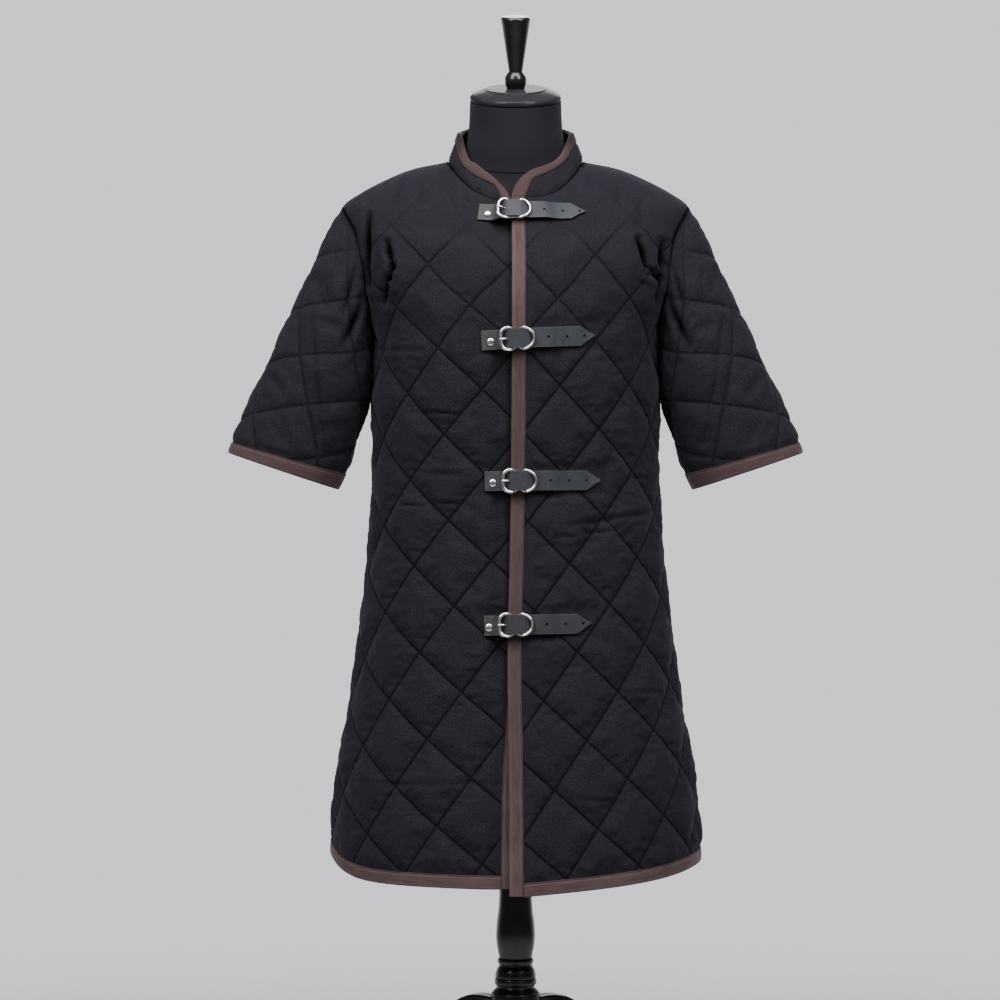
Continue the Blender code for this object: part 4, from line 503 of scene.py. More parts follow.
satin, shader, start = finish("satin_lacquer", Coat_Weight=0.12, Coat_Roughness=0.10, Specular_IOR_Level=0.04)
place = start.place()
smear = place.noise(40.0, 3.0)
pattern(start, shader, smear.step(0.3, 0.7).mix((0.017, 0.017, 0.020), (0.026, 0.026, 0.030)), 0.40 + smear * 0.15,
        place.noise(1400.0, 2.0) * 0.5 + smear, 0.0002)
for node, rows, lift, made in (("neck_cap", CAP, 0.0, satin), ("finial", FINIAL, FINIAL_LIFT, lacquer)):
    piece = turned(node + "_lacquered", rows, 72, 4, (0, 0, 0))
    piece.data.transform(seat @ Matrix.Translation((0, 0, lift)))
    settle(piece, "lacquer", made, node)

# ================================================================ Fronts
# Two fronts of black cotton twill over wadding, quilted in diamonds through all layers and sewn to the back at the
# sides and shoulders. Each diamond is swollen by a cloth simulation that holds the twill at its stitch lines. The
# wearer's left front laps over the right one.
GAP = 0.0003
WALL, PUFF, BAND = 0.005, 0.0050, 0.0165  # cloth under its stitch lines, padding over them, width of a binding
RISE = 0.0036  # how far the left front stands out over the right one
OVERLAP, RISE_END, SINK_END = 0.016, 0.060, 0.045
LINE_SPACING, DIAMOND_SIDE, STITCH = 0.0766, 0.0773, 0.0034
PRESSURE, SPARE, MOST_SWELL = 5.0, 0.035, 0.006  # of the cloth simulation
SEWN_FREE, SEWN_NEAR = 0.25, 0.0006  # the twill is held where it can swell less, and this near to a line
SWELL_FADE = 0.013
INNER_STEP, INNER_LOWEST, INNER_MARGIN = 0.020, 0.45, 0.009  # points of the plain inner face
FOLD_DEEP = 0.006  # a fold this deep is as dark as can be
TIP_LEVEL, UNDERARM, YOKE_START = 1.355, 1.19, 1.285
ARMHOLE_DEPTH = 0.062
HEM_RING, HEM_HALF_WIDTH = 0.48, 0.2455
UNDER_ARM, UNDER_ARM_END, ARM_PRESS = (1.040, 1.080), (1.174, 1.190), (0.006, 0.045)
SIDE_FULL = 0.0050  # how much fuller the body is under the arms
STRAP_WIDTH = 0.0255
PRESS_PAST, PRESS_ASIDE, PRESS_FADE = 0.0035, 0.0025, 0.014
STEP = 0.004  # spacing of points along seams and edges

Edge = namedtuple("Edge", "level arc")
EDGE_LEFT = (Edge(0.44, -0.0070), Edge(0.60, -0.0075), Edge(0.77, -0.0095), Edge(0.90, -0.0065),
             Edge(1.10, -0.0042), Edge(1.51, -0.0045))
EDGE_RIGHT = (Edge(0.44, 0.0030), Edge(0.60, 0.0015), Edge(0.77, -0.0100), Edge(0.90, -0.0110),
              Edge(1.10, -0.0120), Edge(1.51, -0.0120))
Hem = namedtuple("Hem", "centre side straight power")
HEM_LEFT, HEM_RIGHT = Hem(0.4580, 0.4885, 0.65, 6), Hem(0.4675, 0.4985, 0.13, 12)
HEM_BACK_LEFT, HEM_BACK_RIGHT = Hem(0.4680, 0.4885, 0.20, 8), Hem(0.4680, 0.4985, 0.20, 8)
# Lattices of diamonds: place and size of the first diamond, turn below the chest, and sideways drift above it.
Lattice = namedtuple("Lattice", "start_x start_z twist width height lean")
Panel = namedtuple("Panel", "name side back lattice")
FRONT_LEFT = Panel("front_left", 1, False, Lattice(0.0028, 1.2852, 0.184, 0.1016, 0.1165, 0.0))
FRONT_RIGHT = Panel("front_right", -1, False, Lattice(0.0058, 1.2737, 0.176, 0.1061, 0.1098, 0.016))
BACK = Panel("back", 1, True, Lattice(0.0, 1.2400, 0.0, 0.1080, 0.1180, 0.0))
FRONTS = ((FRONT_LEFT, HEM_LEFT, EDGE_LEFT), (FRONT_RIGHT, HEM_RIGHT, EDGE_RIGHT))
TWIST_TOP, LEAN_LEVELS = 1.30, (1.10, 1.26)
CHEST_TOP, CHEST_FALL, YOKE_FALL, FALL_WIDTH = 1.25, 0.72, 0.33, (0.08, 0.24)
# Closures: the strap's middle line, the buckle's shift from centre front, and the strap's two ends.
Closure = namedtuple("Closure", "level slope dip shift end tip")
CLOSURES = (
    Closure(1.4310, 0.000, 3.80, 0.0000, -0.0493, 0.0930),
    Closure(1.1721, 0.053, 0.0, 0.0040, -0.0486, 0.1005),
    Closure(0.9896, 0.009, 0.0, 0.0067, -0.0470, 0.1058),
    Closure(0.8039, 0.020, 0.0, 0.0020, -0.0430, 0.0973),
)
# Folds and creases of each front.
Fold = namedtuple("Fold", "x1 z1 x2 z2 half_width depth")
FOLDS = {
    "front_right": (
        Fold(-0.205, 1.350, -0.215, 1.248, 0.0060, 0.0075), Fold(-0.176, 1.311, -0.167, 1.273, 0.0050, 0.0085),
        Fold(-0.167, 1.273, -0.189, 1.224, 0.0050, 0.0085), Fold(-0.100, 1.490, -0.089, 1.464, 0.0040, 0.0022),
        Fold(-0.071, 1.486, -0.065, 1.450, 0.0040, 0.0022), Fold(-0.167, 1.385, -0.173, 1.424, 0.0060, 0.0022),
        Fold(-0.144, 1.441, -0.128, 1.402, 0.0060, 0.0022), Fold(-0.215, 1.163, -0.124, 1.159, 0.0035, 0.0016),
        Fold(-0.129, 1.079, -0.074, 1.077, 0.0032, 0.0015), Fold(-0.126, 1.000, -0.060, 0.997, 0.0035, 0.0018),
        Fold(-0.109, 0.962, -0.066, 0.960, 0.0030, 0.0013), Fold(-0.158, 0.958, -0.119, 0.957, 0.0030, 0.0014),
        Fold(-0.238, 0.596, -0.020, 0.602, 0.0045, 0.0012),
    ),
    "front_left": (
        Fold(0.165, 1.316, 0.181, 1.266, 0.0050, 0.0085), Fold(0.181, 1.266, 0.203, 1.256, 0.0050, 0.0085),
        Fold(0.206, 1.304, 0.208, 1.253, 0.0060, 0.0075), Fold(0.208, 1.253, 0.205, 1.227, 0.0060, 0.0065),
        Fold(0.117, 1.484, 0.108, 1.455, 0.0045, 0.0022), Fold(0.087, 1.490, 0.076, 1.436, 0.0040, 0.0022),
        Fold(0.152, 1.436, 0.138, 1.390, 0.0060, 0.0022), Fold(0.173, 1.391, 0.168, 1.343, 0.0060, 0.0022),
        Fold(0.070, 0.932, 0.128, 0.940, 0.0040, 0.0024), Fold(0.128, 0.940, 0.206, 0.952, 0.0040, 0.0024),
        Fold(0.083, 0.922, 0.127, 0.924, 0.0030, 0.0013), Fold(0.049, 0.917, 0.077, 0.918, 0.0028, 0.0013),
        Fold(0.168, 0.994, 0.208, 0.995, 0.0030, 0.0015), Fold(0.082, 0.580, 0.127, 0.578, 0.0030, 0.0013),
        Fold(0.137, 0.717, 0.209, 0.714, 0.0030, 0.0015),
    ),
    "back": (),
}


def distance_to_line(points, line):
    """Distance of each flat point to a broken line."""
    start, along = line[:-1], np.diff(line, axis=0)
    found = np.full(len(points), np.inf)
    for first, step in zip(start, along):
        share = np.clip((points - first) @ step / max(step @ step, 1e-12), 0, 1)
        found = np.minimum(found, np.hypot(*(points - first - share[:, None] * step).T))
    return found


def inside_loop(points, loop):
    """True for the flat points that lie inside the closed loop."""
    found = np.zeros(len(points), bool)
    for (x1, y1), (x2, y2) in zip(loop, np.roll(loop, -1, axis=0)):
        if y1 != y2:
            crossed = (y1 > points[:, 1]) != (y2 > points[:, 1])
            found ^= crossed & (points[:, 0] < x1 + (points[:, 1] - y1) * (x2 - x1) / (y2 - y1))
    return found


def armhole(turn):
    """Angle and level of the armhole seam: 0 at the shoulder tip, a right angle in front, pi at the underarm."""
    middle = (TIP_LEVEL + UNDERARM) / 2
    level = middle + (TIP_LEVEL - UNDERARM) / 2 * np.cos(turn)
    aside = ARMHOLE_DEPTH * np.abs(np.sin(turn))
    ahead = np.sin(turn) > 0
    depth = np.where(ahead, column(TORSO, "front", level), column(TORSO, "back", level))
    angle = np.arccos(np.clip((aside / depth) ** (column(TORSO, "square", level) / 2), 0, 1))
    return np.where(ahead, angle, math.pi - angle), level


def hem_level(hem, share):
    """Height of the hem where |x| is share of the half width."""
    return hem.centre + (hem.side - hem.centre) * (hem.straight * share + (1 - hem.straight) * share**hem.power)


def hem_share(arcs, from_back=False):
    """How far out each arc lies at the hem, as a share of the half width."""
    place = torso_point(angle_at(arcs, HEM_RING, from_back), HEM_RING)
    return np.clip(np.abs(place[:, 0]) / HEM_HALF_WIDTH, 0, 1)


def drape_level(x, level):
    """Length of cloth up to a level. Towards the neck the levels lie closer together in the middle."""
    middle = np.minimum(level, CHEST_TOP) + CHEST_FALL * np.clip(level - CHEST_TOP, 0, TIP_LEVEL - CHEST_TOP)
    middle = middle + YOKE_FALL * np.maximum(level - TIP_LEVEL, 0)
    return middle + (level - middle) * smooth_step(np.abs(x), *FALL_WIDTH)


def flat_to_lattice(lattice, x, level):
    """The two families of stitch lines: whole numbers lie on a line."""
    height = drape_level(x, level)
    drop = np.maximum(TWIST_TOP - height, 0.0)
    turn = lattice.twist * drop
    col = (x + lattice.lean * smooth_step(level, *LEAN_LEVELS) - lattice.start_x - turn * drop / 2) / lattice.width
    row = (height - lattice.start_z - turn * x) / lattice.height
    return row + col, row - col


def lattice_to_flat(lattice, first, second):
    x = lattice.start_x + lattice.width * (first - second) / 2
    level = lattice.start_z + lattice.height * (first + second) / 2
    for _ in range(30):
        first_here, second_here = flat_to_lattice(lattice, x, level)
        x = x + lattice.width * (first - first_here - second + second_here) / 2
        level = level + lattice.height * (first - first_here + second - second_here) / 2
    return np.stack([x, level], -1)


def edge_shift(panel, flat):
    if panel.back:
        return np.zeros(len(flat))
    if panel.side > 0:
        return RISE * (1 - smooth_step(flat[:, 0], OVERLAP, RISE_END))
    return -SINK * (1 - smooth_step(flat[:, 0], OVERLAP, SINK_END))


def creased_by(flat, ends, fold, fading, ridge):
    """Depth of one fold at each flat point, fading towards its two ends, with a soft ridge beside it."""
    ends = np.array(ends)
    along = ends[1] - ends[0]
    share = np.clip((flat - ends[0]) @ along / (along @ along), 0, 1)
    away = distance_to_line(flat, ends) / fold.half_width
    profile = np.exp(-(away**2)) - ridge * np.exp(-((away - 2.2) ** 2))
    return fold.depth * (1 - fading * np.abs(share * 2 - 1)) * profile


def fold_shift(panel, flat):
    shift = np.zeros(len(flat))
    for fold in FOLDS[panel.name]:
        ends = ((fold.x1 * panel.side, fold.z1), (fold.x2 * panel.side, fold.z2))
        shift -= creased_by(flat, ends, fold, 0.5, 0.35)
    return shift


def cloth_place(panel, flat, lift, folds=True):
    """World place of a panel's flat points, moved out of the sewing surface by lift, and the way out."""
    flat = np.asarray(flat, float)
    angle = angle_at(flat[:, 0], flat[:, 1], panel.back)
    out = torso_normal(angle, flat[:, 1])
    full = smooth_step(flat[:, 1], *UNDER_ARM) * (1 - smooth_step(flat[:, 1], *UNDER_ARM_END))
    full = full * (1 - smooth_step(np.abs(angle - math.pi / 2), 0.03, 0.28))
    move = lift + SIDE_FULL * full + edge_shift(panel, flat) + (fold_shift(panel, flat) if folds else 0.0)
    points = torso_point(angle, flat[:, 1]) + out * np.broadcast_to(move, (len(flat),))[:, None]
    mirror = np.array([panel.side, 1, 1])
    return points * mirror, out * mirror


def closure_level(closure, x):
    return closure.level + closure.slope * x - closure.dip * x**2


def closure_stretch(closure, x):
    """True distance up the cloth for each unit of level, along a strap."""
    step = 1e-3
    level = closure_level(closure, x)
    angle = angle_at(x, level)
    return np.linalg.norm(torso_point(angle, level + step) - torso_point(angle, level - step), axis=-1) / (2 * step)


def press(panel, flat):
    """0 under a closure, 1 away from it: a strap presses the padding flat."""
    free = np.ones(len(flat))
    if not panel.back:
        x = flat[:, 0] * panel.side
        for closure in CLOSURES:
            start, stop = closure.shift + closure.end - PRESS_PAST, closure.shift + closure.tip + PRESS_PAST
            reach = np.clip(x, start, stop)
            aside = np.abs(flat[:, 1] - closure_level(closure, reach)) * closure_stretch(closure, reach)
            away = np.maximum(aside - STRAP_WIDTH / 2 - PRESS_ASIDE, np.maximum(start - x, x - stop))
            free = np.minimum(free, smooth_step(away, 0.0, PRESS_FADE))
    return free


def spaced(start, end, step):
    return np.linspace(start, end, max(1, round(abs(end - start) / step)) + 1)


def levels_to_flat(arc, level):
    return np.stack(np.broadcast_arrays(np.asarray(arc, float), np.asarray(level, float)), -1)


def half_outline(hem, back=False, start=0.0, top=0.0):
    """One half of a panel's outline without its middle, anticlockwise from the hem, in named stretches."""
    arcs = spaced(start, float(arc_at(math.pi / 2, hem.side, back)) - GAP / 2, STEP)
    sides, shoulders = spaced(hem.side, UNDERARM, STEP), spaced(TIP_LEVEL, NECK_LEVEL, STEP)
    angle, level = armhole((-1 if back else 1) * np.linspace(math.pi, 0, 70))
    shoulder = levels_to_flat(arc_at(math.pi / 2, shoulders, back) - GAP / 2, shoulders)
    parts = {
        "bottom": levels_to_flat(arcs, hem_level(hem, hem_share(arcs, back))),
        "side": levels_to_flat(arc_at(math.pi / 2, sides, back) - GAP / 2, sides),
        "hole": levels_to_flat(arc_at(angle, level, back), level),
        "shoulder": shoulder,
        "neck": levels_to_flat(spaced(shoulder[-1, 0], top, STEP), NECK_LEVEL),
    }
    return {name: part[:-1] for name, part in parts.items()}


def front_outline(hem, edge):
    """A front's outline, anticlockwise from its lower front corner, in named stretches."""
    corner, top = [float(column(edge, "arc", level)) for level in (hem.centre, NECK_LEVEL)]
    parts = half_outline(hem, False, corner, top)
    levels = spaced(NECK_LEVEL, parts["bottom"][0, 1], STEP)
    parts["front"] = levels_to_flat(column(edge, "arc", levels), levels)[:-1]
    return parts


def loop_edges(count, first=0):
    """Edges of a closed loop of points, numbered from the first one."""
    return [(first + k, first + (k + 1) % count) for k in range(count)]


def grid_of(xs, ys):
    """Flat points where two rows of places cross."""
    return np.stack([places.ravel() for places in np.meshgrid(xs, ys)], -1)


def triangles(flat, edges, loop, holes=()):
    """Triangles over flat points that keep the given edges, inside the loop and outside the holes."""
    made = delaunay_2d_cdt([Vector(p) for p in flat.tolist()], edges, [], 1, 1e-8, True)
    source = [origin[0] for origin in made[3]]
    faces = np.array([[source[k] for k in face] for face in made[2]])
    middles = flat[faces].mean(1)
    keep = inside_loop(middles, loop)
    for hole in holes:
        keep &= ~inside_loop(middles, hole)
    return faces[keep]


def crosses(points, faces):
    """Square to each triangle and twice its area long."""
    first = points[faces[:, 0]]
    return np.cross(points[faces[:, 1]] - first, points[faces[:, 2]] - first)


def turned_out(faces, points, out):
    """The triangles, facing the way out."""
    return faces[:, ::-1] if (crosses(points, faces) * out[faces[:, 0]]).sum() < 0 else faces


def wall_faces(numbers, count, lower):
    """Triangles from the numbered points of a loop to the same points of its copy, which starts at lower."""
    k, j = numbers, (numbers + 1) % count
    return np.vstack([np.stack([k, j, lower + j], -1), np.stack([k, lower + j, lower + k], -1)])


def swell(points, faces, sewn):
    """Let a sheet of twill puff out between its stitch lines, where it is held, and settle into wrinkles."""
    mesh = bpy.data.meshes.new("swelling")
    mesh.from_pydata(points.tolist(), [], faces.tolist())
    sheet = linked("swelling", mesh)
    sheet.vertex_groups.new(name="sewn").add(np.flatnonzero(sewn).tolist(), 1.0, "REPLACE")
    cloth = sheet.modifiers.new("swell", "CLOTH")
    cloth.settings.quality = 6
    cloth.settings.mass = 0.3
    cloth.settings.tension_stiffness = 12
    cloth.settings.compression_stiffness = 12
    cloth.settings.shear_stiffness = 6
    cloth.settings.bending_stiffness = 0.12
    cloth.settings.air_damping = 2.0
    cloth.settings.effector_weights.gravity = 0.0
    cloth.settings.use_pressure = True
    cloth.settings.uniform_pressure_force = PRESSURE
    cloth.settings.shrink_min = -SPARE
    cloth.settings.vertex_group_mass = "sewn"
    cloth.collision_settings.use_collision = False
    cloth.point_cache.frame_end = 20
    for number in range(1, 21):
        bpy.context.scene.frame_set(number)
    moved = np.empty(len(points) * 3)
    sheet.evaluated_get(bpy.context.evaluated_depsgraph_get()).data.vertices.foreach_get("co", moved)
    bpy.data.objects.remove(sheet)
    bpy.context.scene.frame_set(1)
    move = moved.reshape(-1, 3) - points
    size = np.linalg.norm(move, axis=1, keepdims=True)
    return points + move * np.minimum(1.0, MOST_SWELL / np.maximum(size, 1e-9))


twill, shader, start = finish("black_twill", Sheen_Weight=0.06, Sheen_Roughness=0.4, Sheen_Tint=(0.64, 0.60, 0.86, 1),
                               Specular_IOR_Level=0.14)
weave = start.flat_map("weave")
flat_x, flat_z = weave.split()[:2]
lines = start.flat_map("quilt").split()[:2]
creased, faint = start.flat_map("relief").split()[:2]
ribs = ((flat_x + flat_z * 0.62) * (math.tau / 0.0019)).math("SINE")
threads = ((flat_x - flat_z * 1.6) * (math.tau / 0.0011)).math("SINE")
fibre = weave.noise(2600.0, 3.0)
blotch = weave.noise(16.0, 4.0, 0.6)
dust = weave.noise(900.0, 1.0).step(0.735, 0.80)
groove, dashes = [], []
for here, other in (lines, lines[::-1]):
    away = (here - here.math("ROUND")).math("ABSOLUTE") * LINE_SPACING
    groove.append(away.step(0.0, 0.0032))
    along = (other * DIAMOND_SIDE / STITCH).math("FRACT")
    dashes.append((1 - away.step(0.00030, 0.00055)) * (1 - (along - 0.5).math("ABSOLUTE").step(0.34, 0.42)))
valley = (groove[0] * groove[1]).math("MAXIMUM", faint * 0.8)
dash = dashes[0].math("MAXIMUM", dashes[1]) * (1 - faint * 0.8)
mottle = weave.noise(420.0, 4.0, 0.65)
base = blotch.step(0.3, 0.75).mix((0.0058, 0.0051, 0.0076), (0.0102, 0.0091, 0.0132))
base = (ribs * 0.5 + 0.5).mix(base, (0.0142, 0.0128, 0.0182))
base = (mottle.step(0.48, 0.70) * 0.8).mix(base, (0.0245, 0.0225, 0.0305))
base = (mottle.step(0.50, 0.30) * 0.6).mix(base, (0.0040, 0.0038, 0.0050))
# Painted shade: near black in the grooves of the stitch lines.
base = ((1 - valley) * 0.80).mix(base, (0.0018, 0.0017, 0.0024))
base = (dash * 0.75).mix(base, (0.016, 0.016, 0.019))
base = (dust * 0.30).mix(base, (0.14, 0.14, 0.15))
# Painted shade: near black in the folds and along the seams.
base = (creased * 0.9).mix(base, (0.0010, 0.0010, 0.0013))
pattern(start, shader, base, 0.80 + fibre * 0.14,
        ribs * 0.14 + threads * 0.06 + fibre * 0.45 + mottle + valley * 2.4 + dash * 0.5, 0.00045)
# Little light reaches the bottom of a crease or a stitch line.
deep = (creased.step(0.20, 0.95) * 0.85).math("MAXIMUM", (1 - valley).step(0.40, 1.0) * 0.42)
blended(start, shader, deep, start.add("ShaderNodeBsdfDiffuse", {}, {0: (0.0009, 0.0009, 0.0012)}))

DIVISIONS = 20


def lattice_grid(lattice, loop, side):
    """Points spaced evenly along the stitch lines of a lattice, inside a loop of a panel."""
    low, high = loop.min(0), loop.max(0)
    reach = np.array([flat_to_lattice(lattice, x * side, z) for x in (low[0], high[0]) for z in (low[1], high[1])])
    places = [np.arange(math.floor(line.min()) - 2, math.ceil(line.max()) + 2, 1 / DIVISIONS) for line in reach.T]
    points = lattice_to_flat(lattice, *grid_of(*places).T) * (side, 1)
    points = points[(points > low).all(1) & (points < high).all(1)]
    return points[inside_loop(points, loop)]


def stitch_distance(spacing, first, second):
    """True distance to the nearest stitch line."""
    return spacing * np.minimum(np.abs(first - np.round(first)), np.abs(second - np.round(second)))


def pillow(first, second):
    """Height of the padding between stitch lines, from 0 to 1."""
    height = 1.0
    for line in (first, second):
        height = height * (1 - (1 - np.clip(np.abs(line - np.round(line)) / 0.42, 0, 1)) ** 2.4)
    return height


def relief(fold, from_seam, seam_width, plain, inner_count):
    """Map of how deep a place lies in a fold or seam, for painted shade, and how faint the quilting is, with zeros
    inside.
    """
    crease = np.clip(fold / FOLD_DEEP + 0.9 * np.exp(-((from_seam / seam_width) ** 2)), 0, 1)
    return np.vstack([np.stack([crease, plain], -1), np.zeros((inner_count, 2))])


def panel_piece(panel, parts):
    """Simulate one panel's outer face, give it its plain inner face and close the wall along its outline."""
    stretches = list(parts.values())
    loop, seams, bound = np.vstack(stretches), np.vstack(stretches[1:-1]), np.vstack([stretches[-1], stretches[0]])
    count = len(loop)
    inside = lattice_grid(panel.lattice, loop, panel.side)
    closed = np.vstack([loop, loop[:1]])
    inside = inside[distance_to_line(inside, closed) > STEP * 0.5]
    flat = np.vstack([loop, inside])
    faces = triangles(flat, loop_edges(count), loop)
    first, second = flat_to_lattice(panel.lattice, flat[:, 0] * panel.side, flat[:, 1])
    from_seam, from_edge = distance_to_line(flat, seams), distance_to_line(flat, bound)
    free = smooth_step(from_seam, 0.001, SWELL_FADE) * smooth_step(from_edge, BAND, BAND + SWELL_FADE)
    free *= press(panel, flat)
    plain = np.maximum(smooth_step(flat[:, 1], YOKE_START, TIP_LEVEL), 0.35 * smooth_step(flat[:, 1], 1.02, 1.24))
    from_side = arc_at(math.pi / 2, flat[:, 1], panel.back) - np.abs(flat[:, 0])
    free *= 1 - smooth_step(flat[:, 1], *UNDER_ARM) * (1 - smooth_step(from_side, *ARM_PRESS))
    base, out = cloth_place(panel, flat, 0.0)
    start_points = base + out * (PUFF * 0.55 * pillow(first, second) * free * (1 - plain))[:, None]
    faces = turned_out(faces, start_points, out)
    sewn = (stitch_distance(LINE_SPACING, first, second) < SEWN_NEAR) | (free < SEWN_FREE)
    sewn |= np.arange(len(flat)) < count
    outer = swell(start_points, faces, sewn)
    outer = start_points + (outer - start_points) * (1 - 0.80 * plain)[:, None]
    outer += out * (np.minimum(PUFF * 1.15 - ((outer - base) * out).sum(1), 0.0))[:, None]
    inside = grid_of(np.arange(loop[:, 0].min(), loop[:, 0].max(), INNER_STEP),
                     np.arange(INNER_LOWEST, NECK_LEVEL, INNER_STEP))
    inside = inside[inside_loop(inside, loop)]
    inner_flat = np.vstack([loop, inside[distance_to_line(inside, closed) > INNER_MARGIN]])
    inner_faces = triangles(inner_flat, loop_edges(count), loop) + len(flat)
    inner, _ = cloth_place(panel, inner_flat, -WALL)
    every = np.vstack([faces, inner_faces[:, ::-1], wall_faces(np.arange(count), count, len(flat))])
    weave_map = np.vstack([flat, inner_flat]) * (panel.side, 1)
    piece = meshed(panel.name + "_cloth", np.vstack([outer, inner]), every, [twill], {
        "weave": weave_map, "quilt": np.stack(flat_to_lattice(panel.lattice, *weave_map.T), -1),
        "relief": relief(-fold_shift(panel, flat), from_seam, 0.0026, plain, len(inner_flat))})
    settle(piece, "cloth", twill, panel.name)
    float(np.ptp(drape_level(0.0, loop[:, 1])))
    float(np.linalg.norm(crosses(base, faces), axis=1).sum() / 2)


for panel, hem, edge in FRONTS:
    panel_piece(panel, front_outline(hem, edge))

# ================================================================ Back
# One piece of the same quilted twill from side seam to side seam, with no centre seam.
left, right = half_outline(HEM_BACK_LEFT, True), half_outline(HEM_BACK_RIGHT, True)
back_parts = dict(left)
back_parts["neck"] = np.vstack([left["neck"], (0.0, NECK_LEVEL)])
for name in ("neck", "shoulder", "hole", "side", "bottom"):
    back_parts[name + "_right"] = (right[name] * (-1, 1))[::-1]
back_parts["bottom_right"] = back_parts["bottom_right"][:-1]
panel_piece(BACK, back_parts)

# ================================================================ Sleeves
# Elbow-length sleeves in one piece each, set into the armhole and closed by a seam under the arm. Their rows of
# stitching run nearly level, crossed by slanting rows.
Cuff = namedtuple("Cuff", "share outer_x outer_z inner_x inner_z half_depth")
SLEEVE = (
    Cuff(0.00, 0.2300, 1.3555, 0.1890, 1.1900, 0.062),
    Cuff(0.18, 0.2595, 1.2980, 0.1885, 1.1520, 0.066),
    Cuff(0.34, 0.2840, 1.2440, 0.1893, 1.1160, 0.068),
    Cuff(0.56, 0.3190, 1.1700, 0.1985, 1.0780, 0.069),
    Cuff(0.77, 0.3530, 1.0970, 0.2130, 1.0400, 0.068),
    Cuff(0.89, 0.3700, 1.0600, 0.2225, 1.0090, 0.067),
    Cuff(1.00, 0.3820, 1.0290, 0.2365, 0.9800, 0.066),
)
SLEEVE_RADIUS, SLEEVE_LENGTH, SLEEVE_CAP = 0.0725, 0.290, 0.075
SLEEVE_ROW, SLEEVE_PHASE = 0.072, 0.1207
SLEEVE_TURN, SLEEVE_SLANT = math.radians(18.7), math.radians(-60.0)
# Creases of each sleeve, by its side.
Crease = namedtuple("Crease", "turn1 share1 turn2 share2 half_width depth")
CREASES = {
    -1: (Crease(1.90, 0.10, 1.75, 0.34, 0.006, 0.0065), Crease(1.35, 0.05, 1.60, 0.30, 0.006, 0.0045),
         Crease(0.95, 0.36, 2.20, 0.86, 0.005, 0.0028), Crease(0.80, 0.12, 1.15, 0.30, 0.005, 0.0018)),
    1: (Crease(1.90, 0.10, 1.75, 0.34, 0.006, 0.0065), Crease(1.45, 0.05, 1.65, 0.26, 0.006, 0.0045),
        Crease(1.00, 0.40, 2.15, 0.80, 0.005, 0.0026), Crease(0.70, 0.15, 1.20, 0.28, 0.005, 0.0018)),
}


def sleeve_ring(turn, share):
    cosine = np.cos(turn)
    outer_x, inner_x = column(SLEEVE, "outer_x", share), column(SLEEVE, "inner_x", share)
    outer_z, inner_z = column(SLEEVE, "outer_z", share), column(SLEEVE, "inner_z", share)
    x = (outer_x + inner_x) / 2 + (outer_x - inner_x) / 2 * cosine
    z = (outer_z + inner_z) / 2 + (outer_z - inner_z) / 2 * cosine
    return np.stack([x, AXIS_Y - column(SLEEVE, "half_depth", share) * np.sin(turn), z], -1)


def armhole_frame(turn):
    """The armhole seam's points, the cloth's normal there, and the way across the seam into the sleeve."""
    angle, level = armhole(turn)
    point, out = torso_point(angle, level), torso_normal(angle, level)
    along = torso_point(*armhole(turn + 1e-3)) - torso_point(*armhole(turn - 1e-3))
    across = unit(np.cross(out, along))
    middle = np.array([0.215, AXIS_Y, (TIP_LEVEL + UNDERARM) / 2])
    across *= np.sign(np.einsum("...c,...c->...", across, middle - point))[..., None]
    return point, out, across


def sleeve_surface(turn, share):
    turn, share = np.broadcast_arrays(np.asarray(turn, float), np.asarray(share, float))
    seam, out, across = armhole_frame(turn)
    seam = seam + (across + out) * GAP
    pull = (1 - smooth_step(share, 0.0, 0.42))[..., None]
    return sleeve_ring(turn, share) + (seam - sleeve_ring(turn, np.zeros_like(share))) * pull


def sleeve_place(turn, share, lift):
    """Place on the wearer's left sleeve at a lift off its sewing surface, and the way out."""
    low, high = np.clip(share - 1e-3, 0, 1), np.clip(share + 1e-3, 0, 1)
    around = sleeve_surface(turn + 1e-3, share) - sleeve_surface(turn - 1e-3, share)
    out = unit(np.cross(around, sleeve_surface(turn, high) - sleeve_surface(turn, low)))
    _, _, across = armhole_frame(turn)
    inward = -out
    back = np.minimum(np.einsum("pc,pc->p", inward, across), 0.0)[:, None]
    near = (1 - smooth_step(share, 0.0, 0.08))[:, None]
    inward = unit(inward * (1 - near) + unit(inward - across * back) * near)
    return sleeve_surface(turn, share) - inward * np.broadcast_to(lift, turn.shape)[:, None], -inward


def sleeve_length(turn):
    return SLEEVE_LENGTH + SLEEVE_CAP * np.cos(turn)


def sleeve_lines(turn, share):
    wide, up = turn * SLEEVE_RADIUS, (1 - share) * sleeve_length(turn)
    level_line = (up * math.cos(SLEEVE_TURN) - wide * math.sin(SLEEVE_TURN) - SLEEVE_PHASE) / SLEEVE_ROW
    return level_line, (up * math.cos(SLEEVE_SLANT) - wide * math.sin(SLEEVE_SLANT)) / SLEEVE_ROW


def crease_shift(side, turn, share):
    """Depth of a sleeve's creases at each place."""
    flat = np.stack([turn * SLEEVE_RADIUS, share * sleeve_length(turn)], -1)
    shift = np.zeros(len(flat))
    for crease in CREASES[side]:
        ends = [(t * SLEEVE_RADIUS, s * sleeve_length(t))
                for t, s in ((crease.turn1, crease.share1), (crease.turn2, crease.share2))]
        shift -= creased_by(flat, ends, crease, 0.6, 0.4)
    return shift * smooth_step(share, 0.0, 0.05)


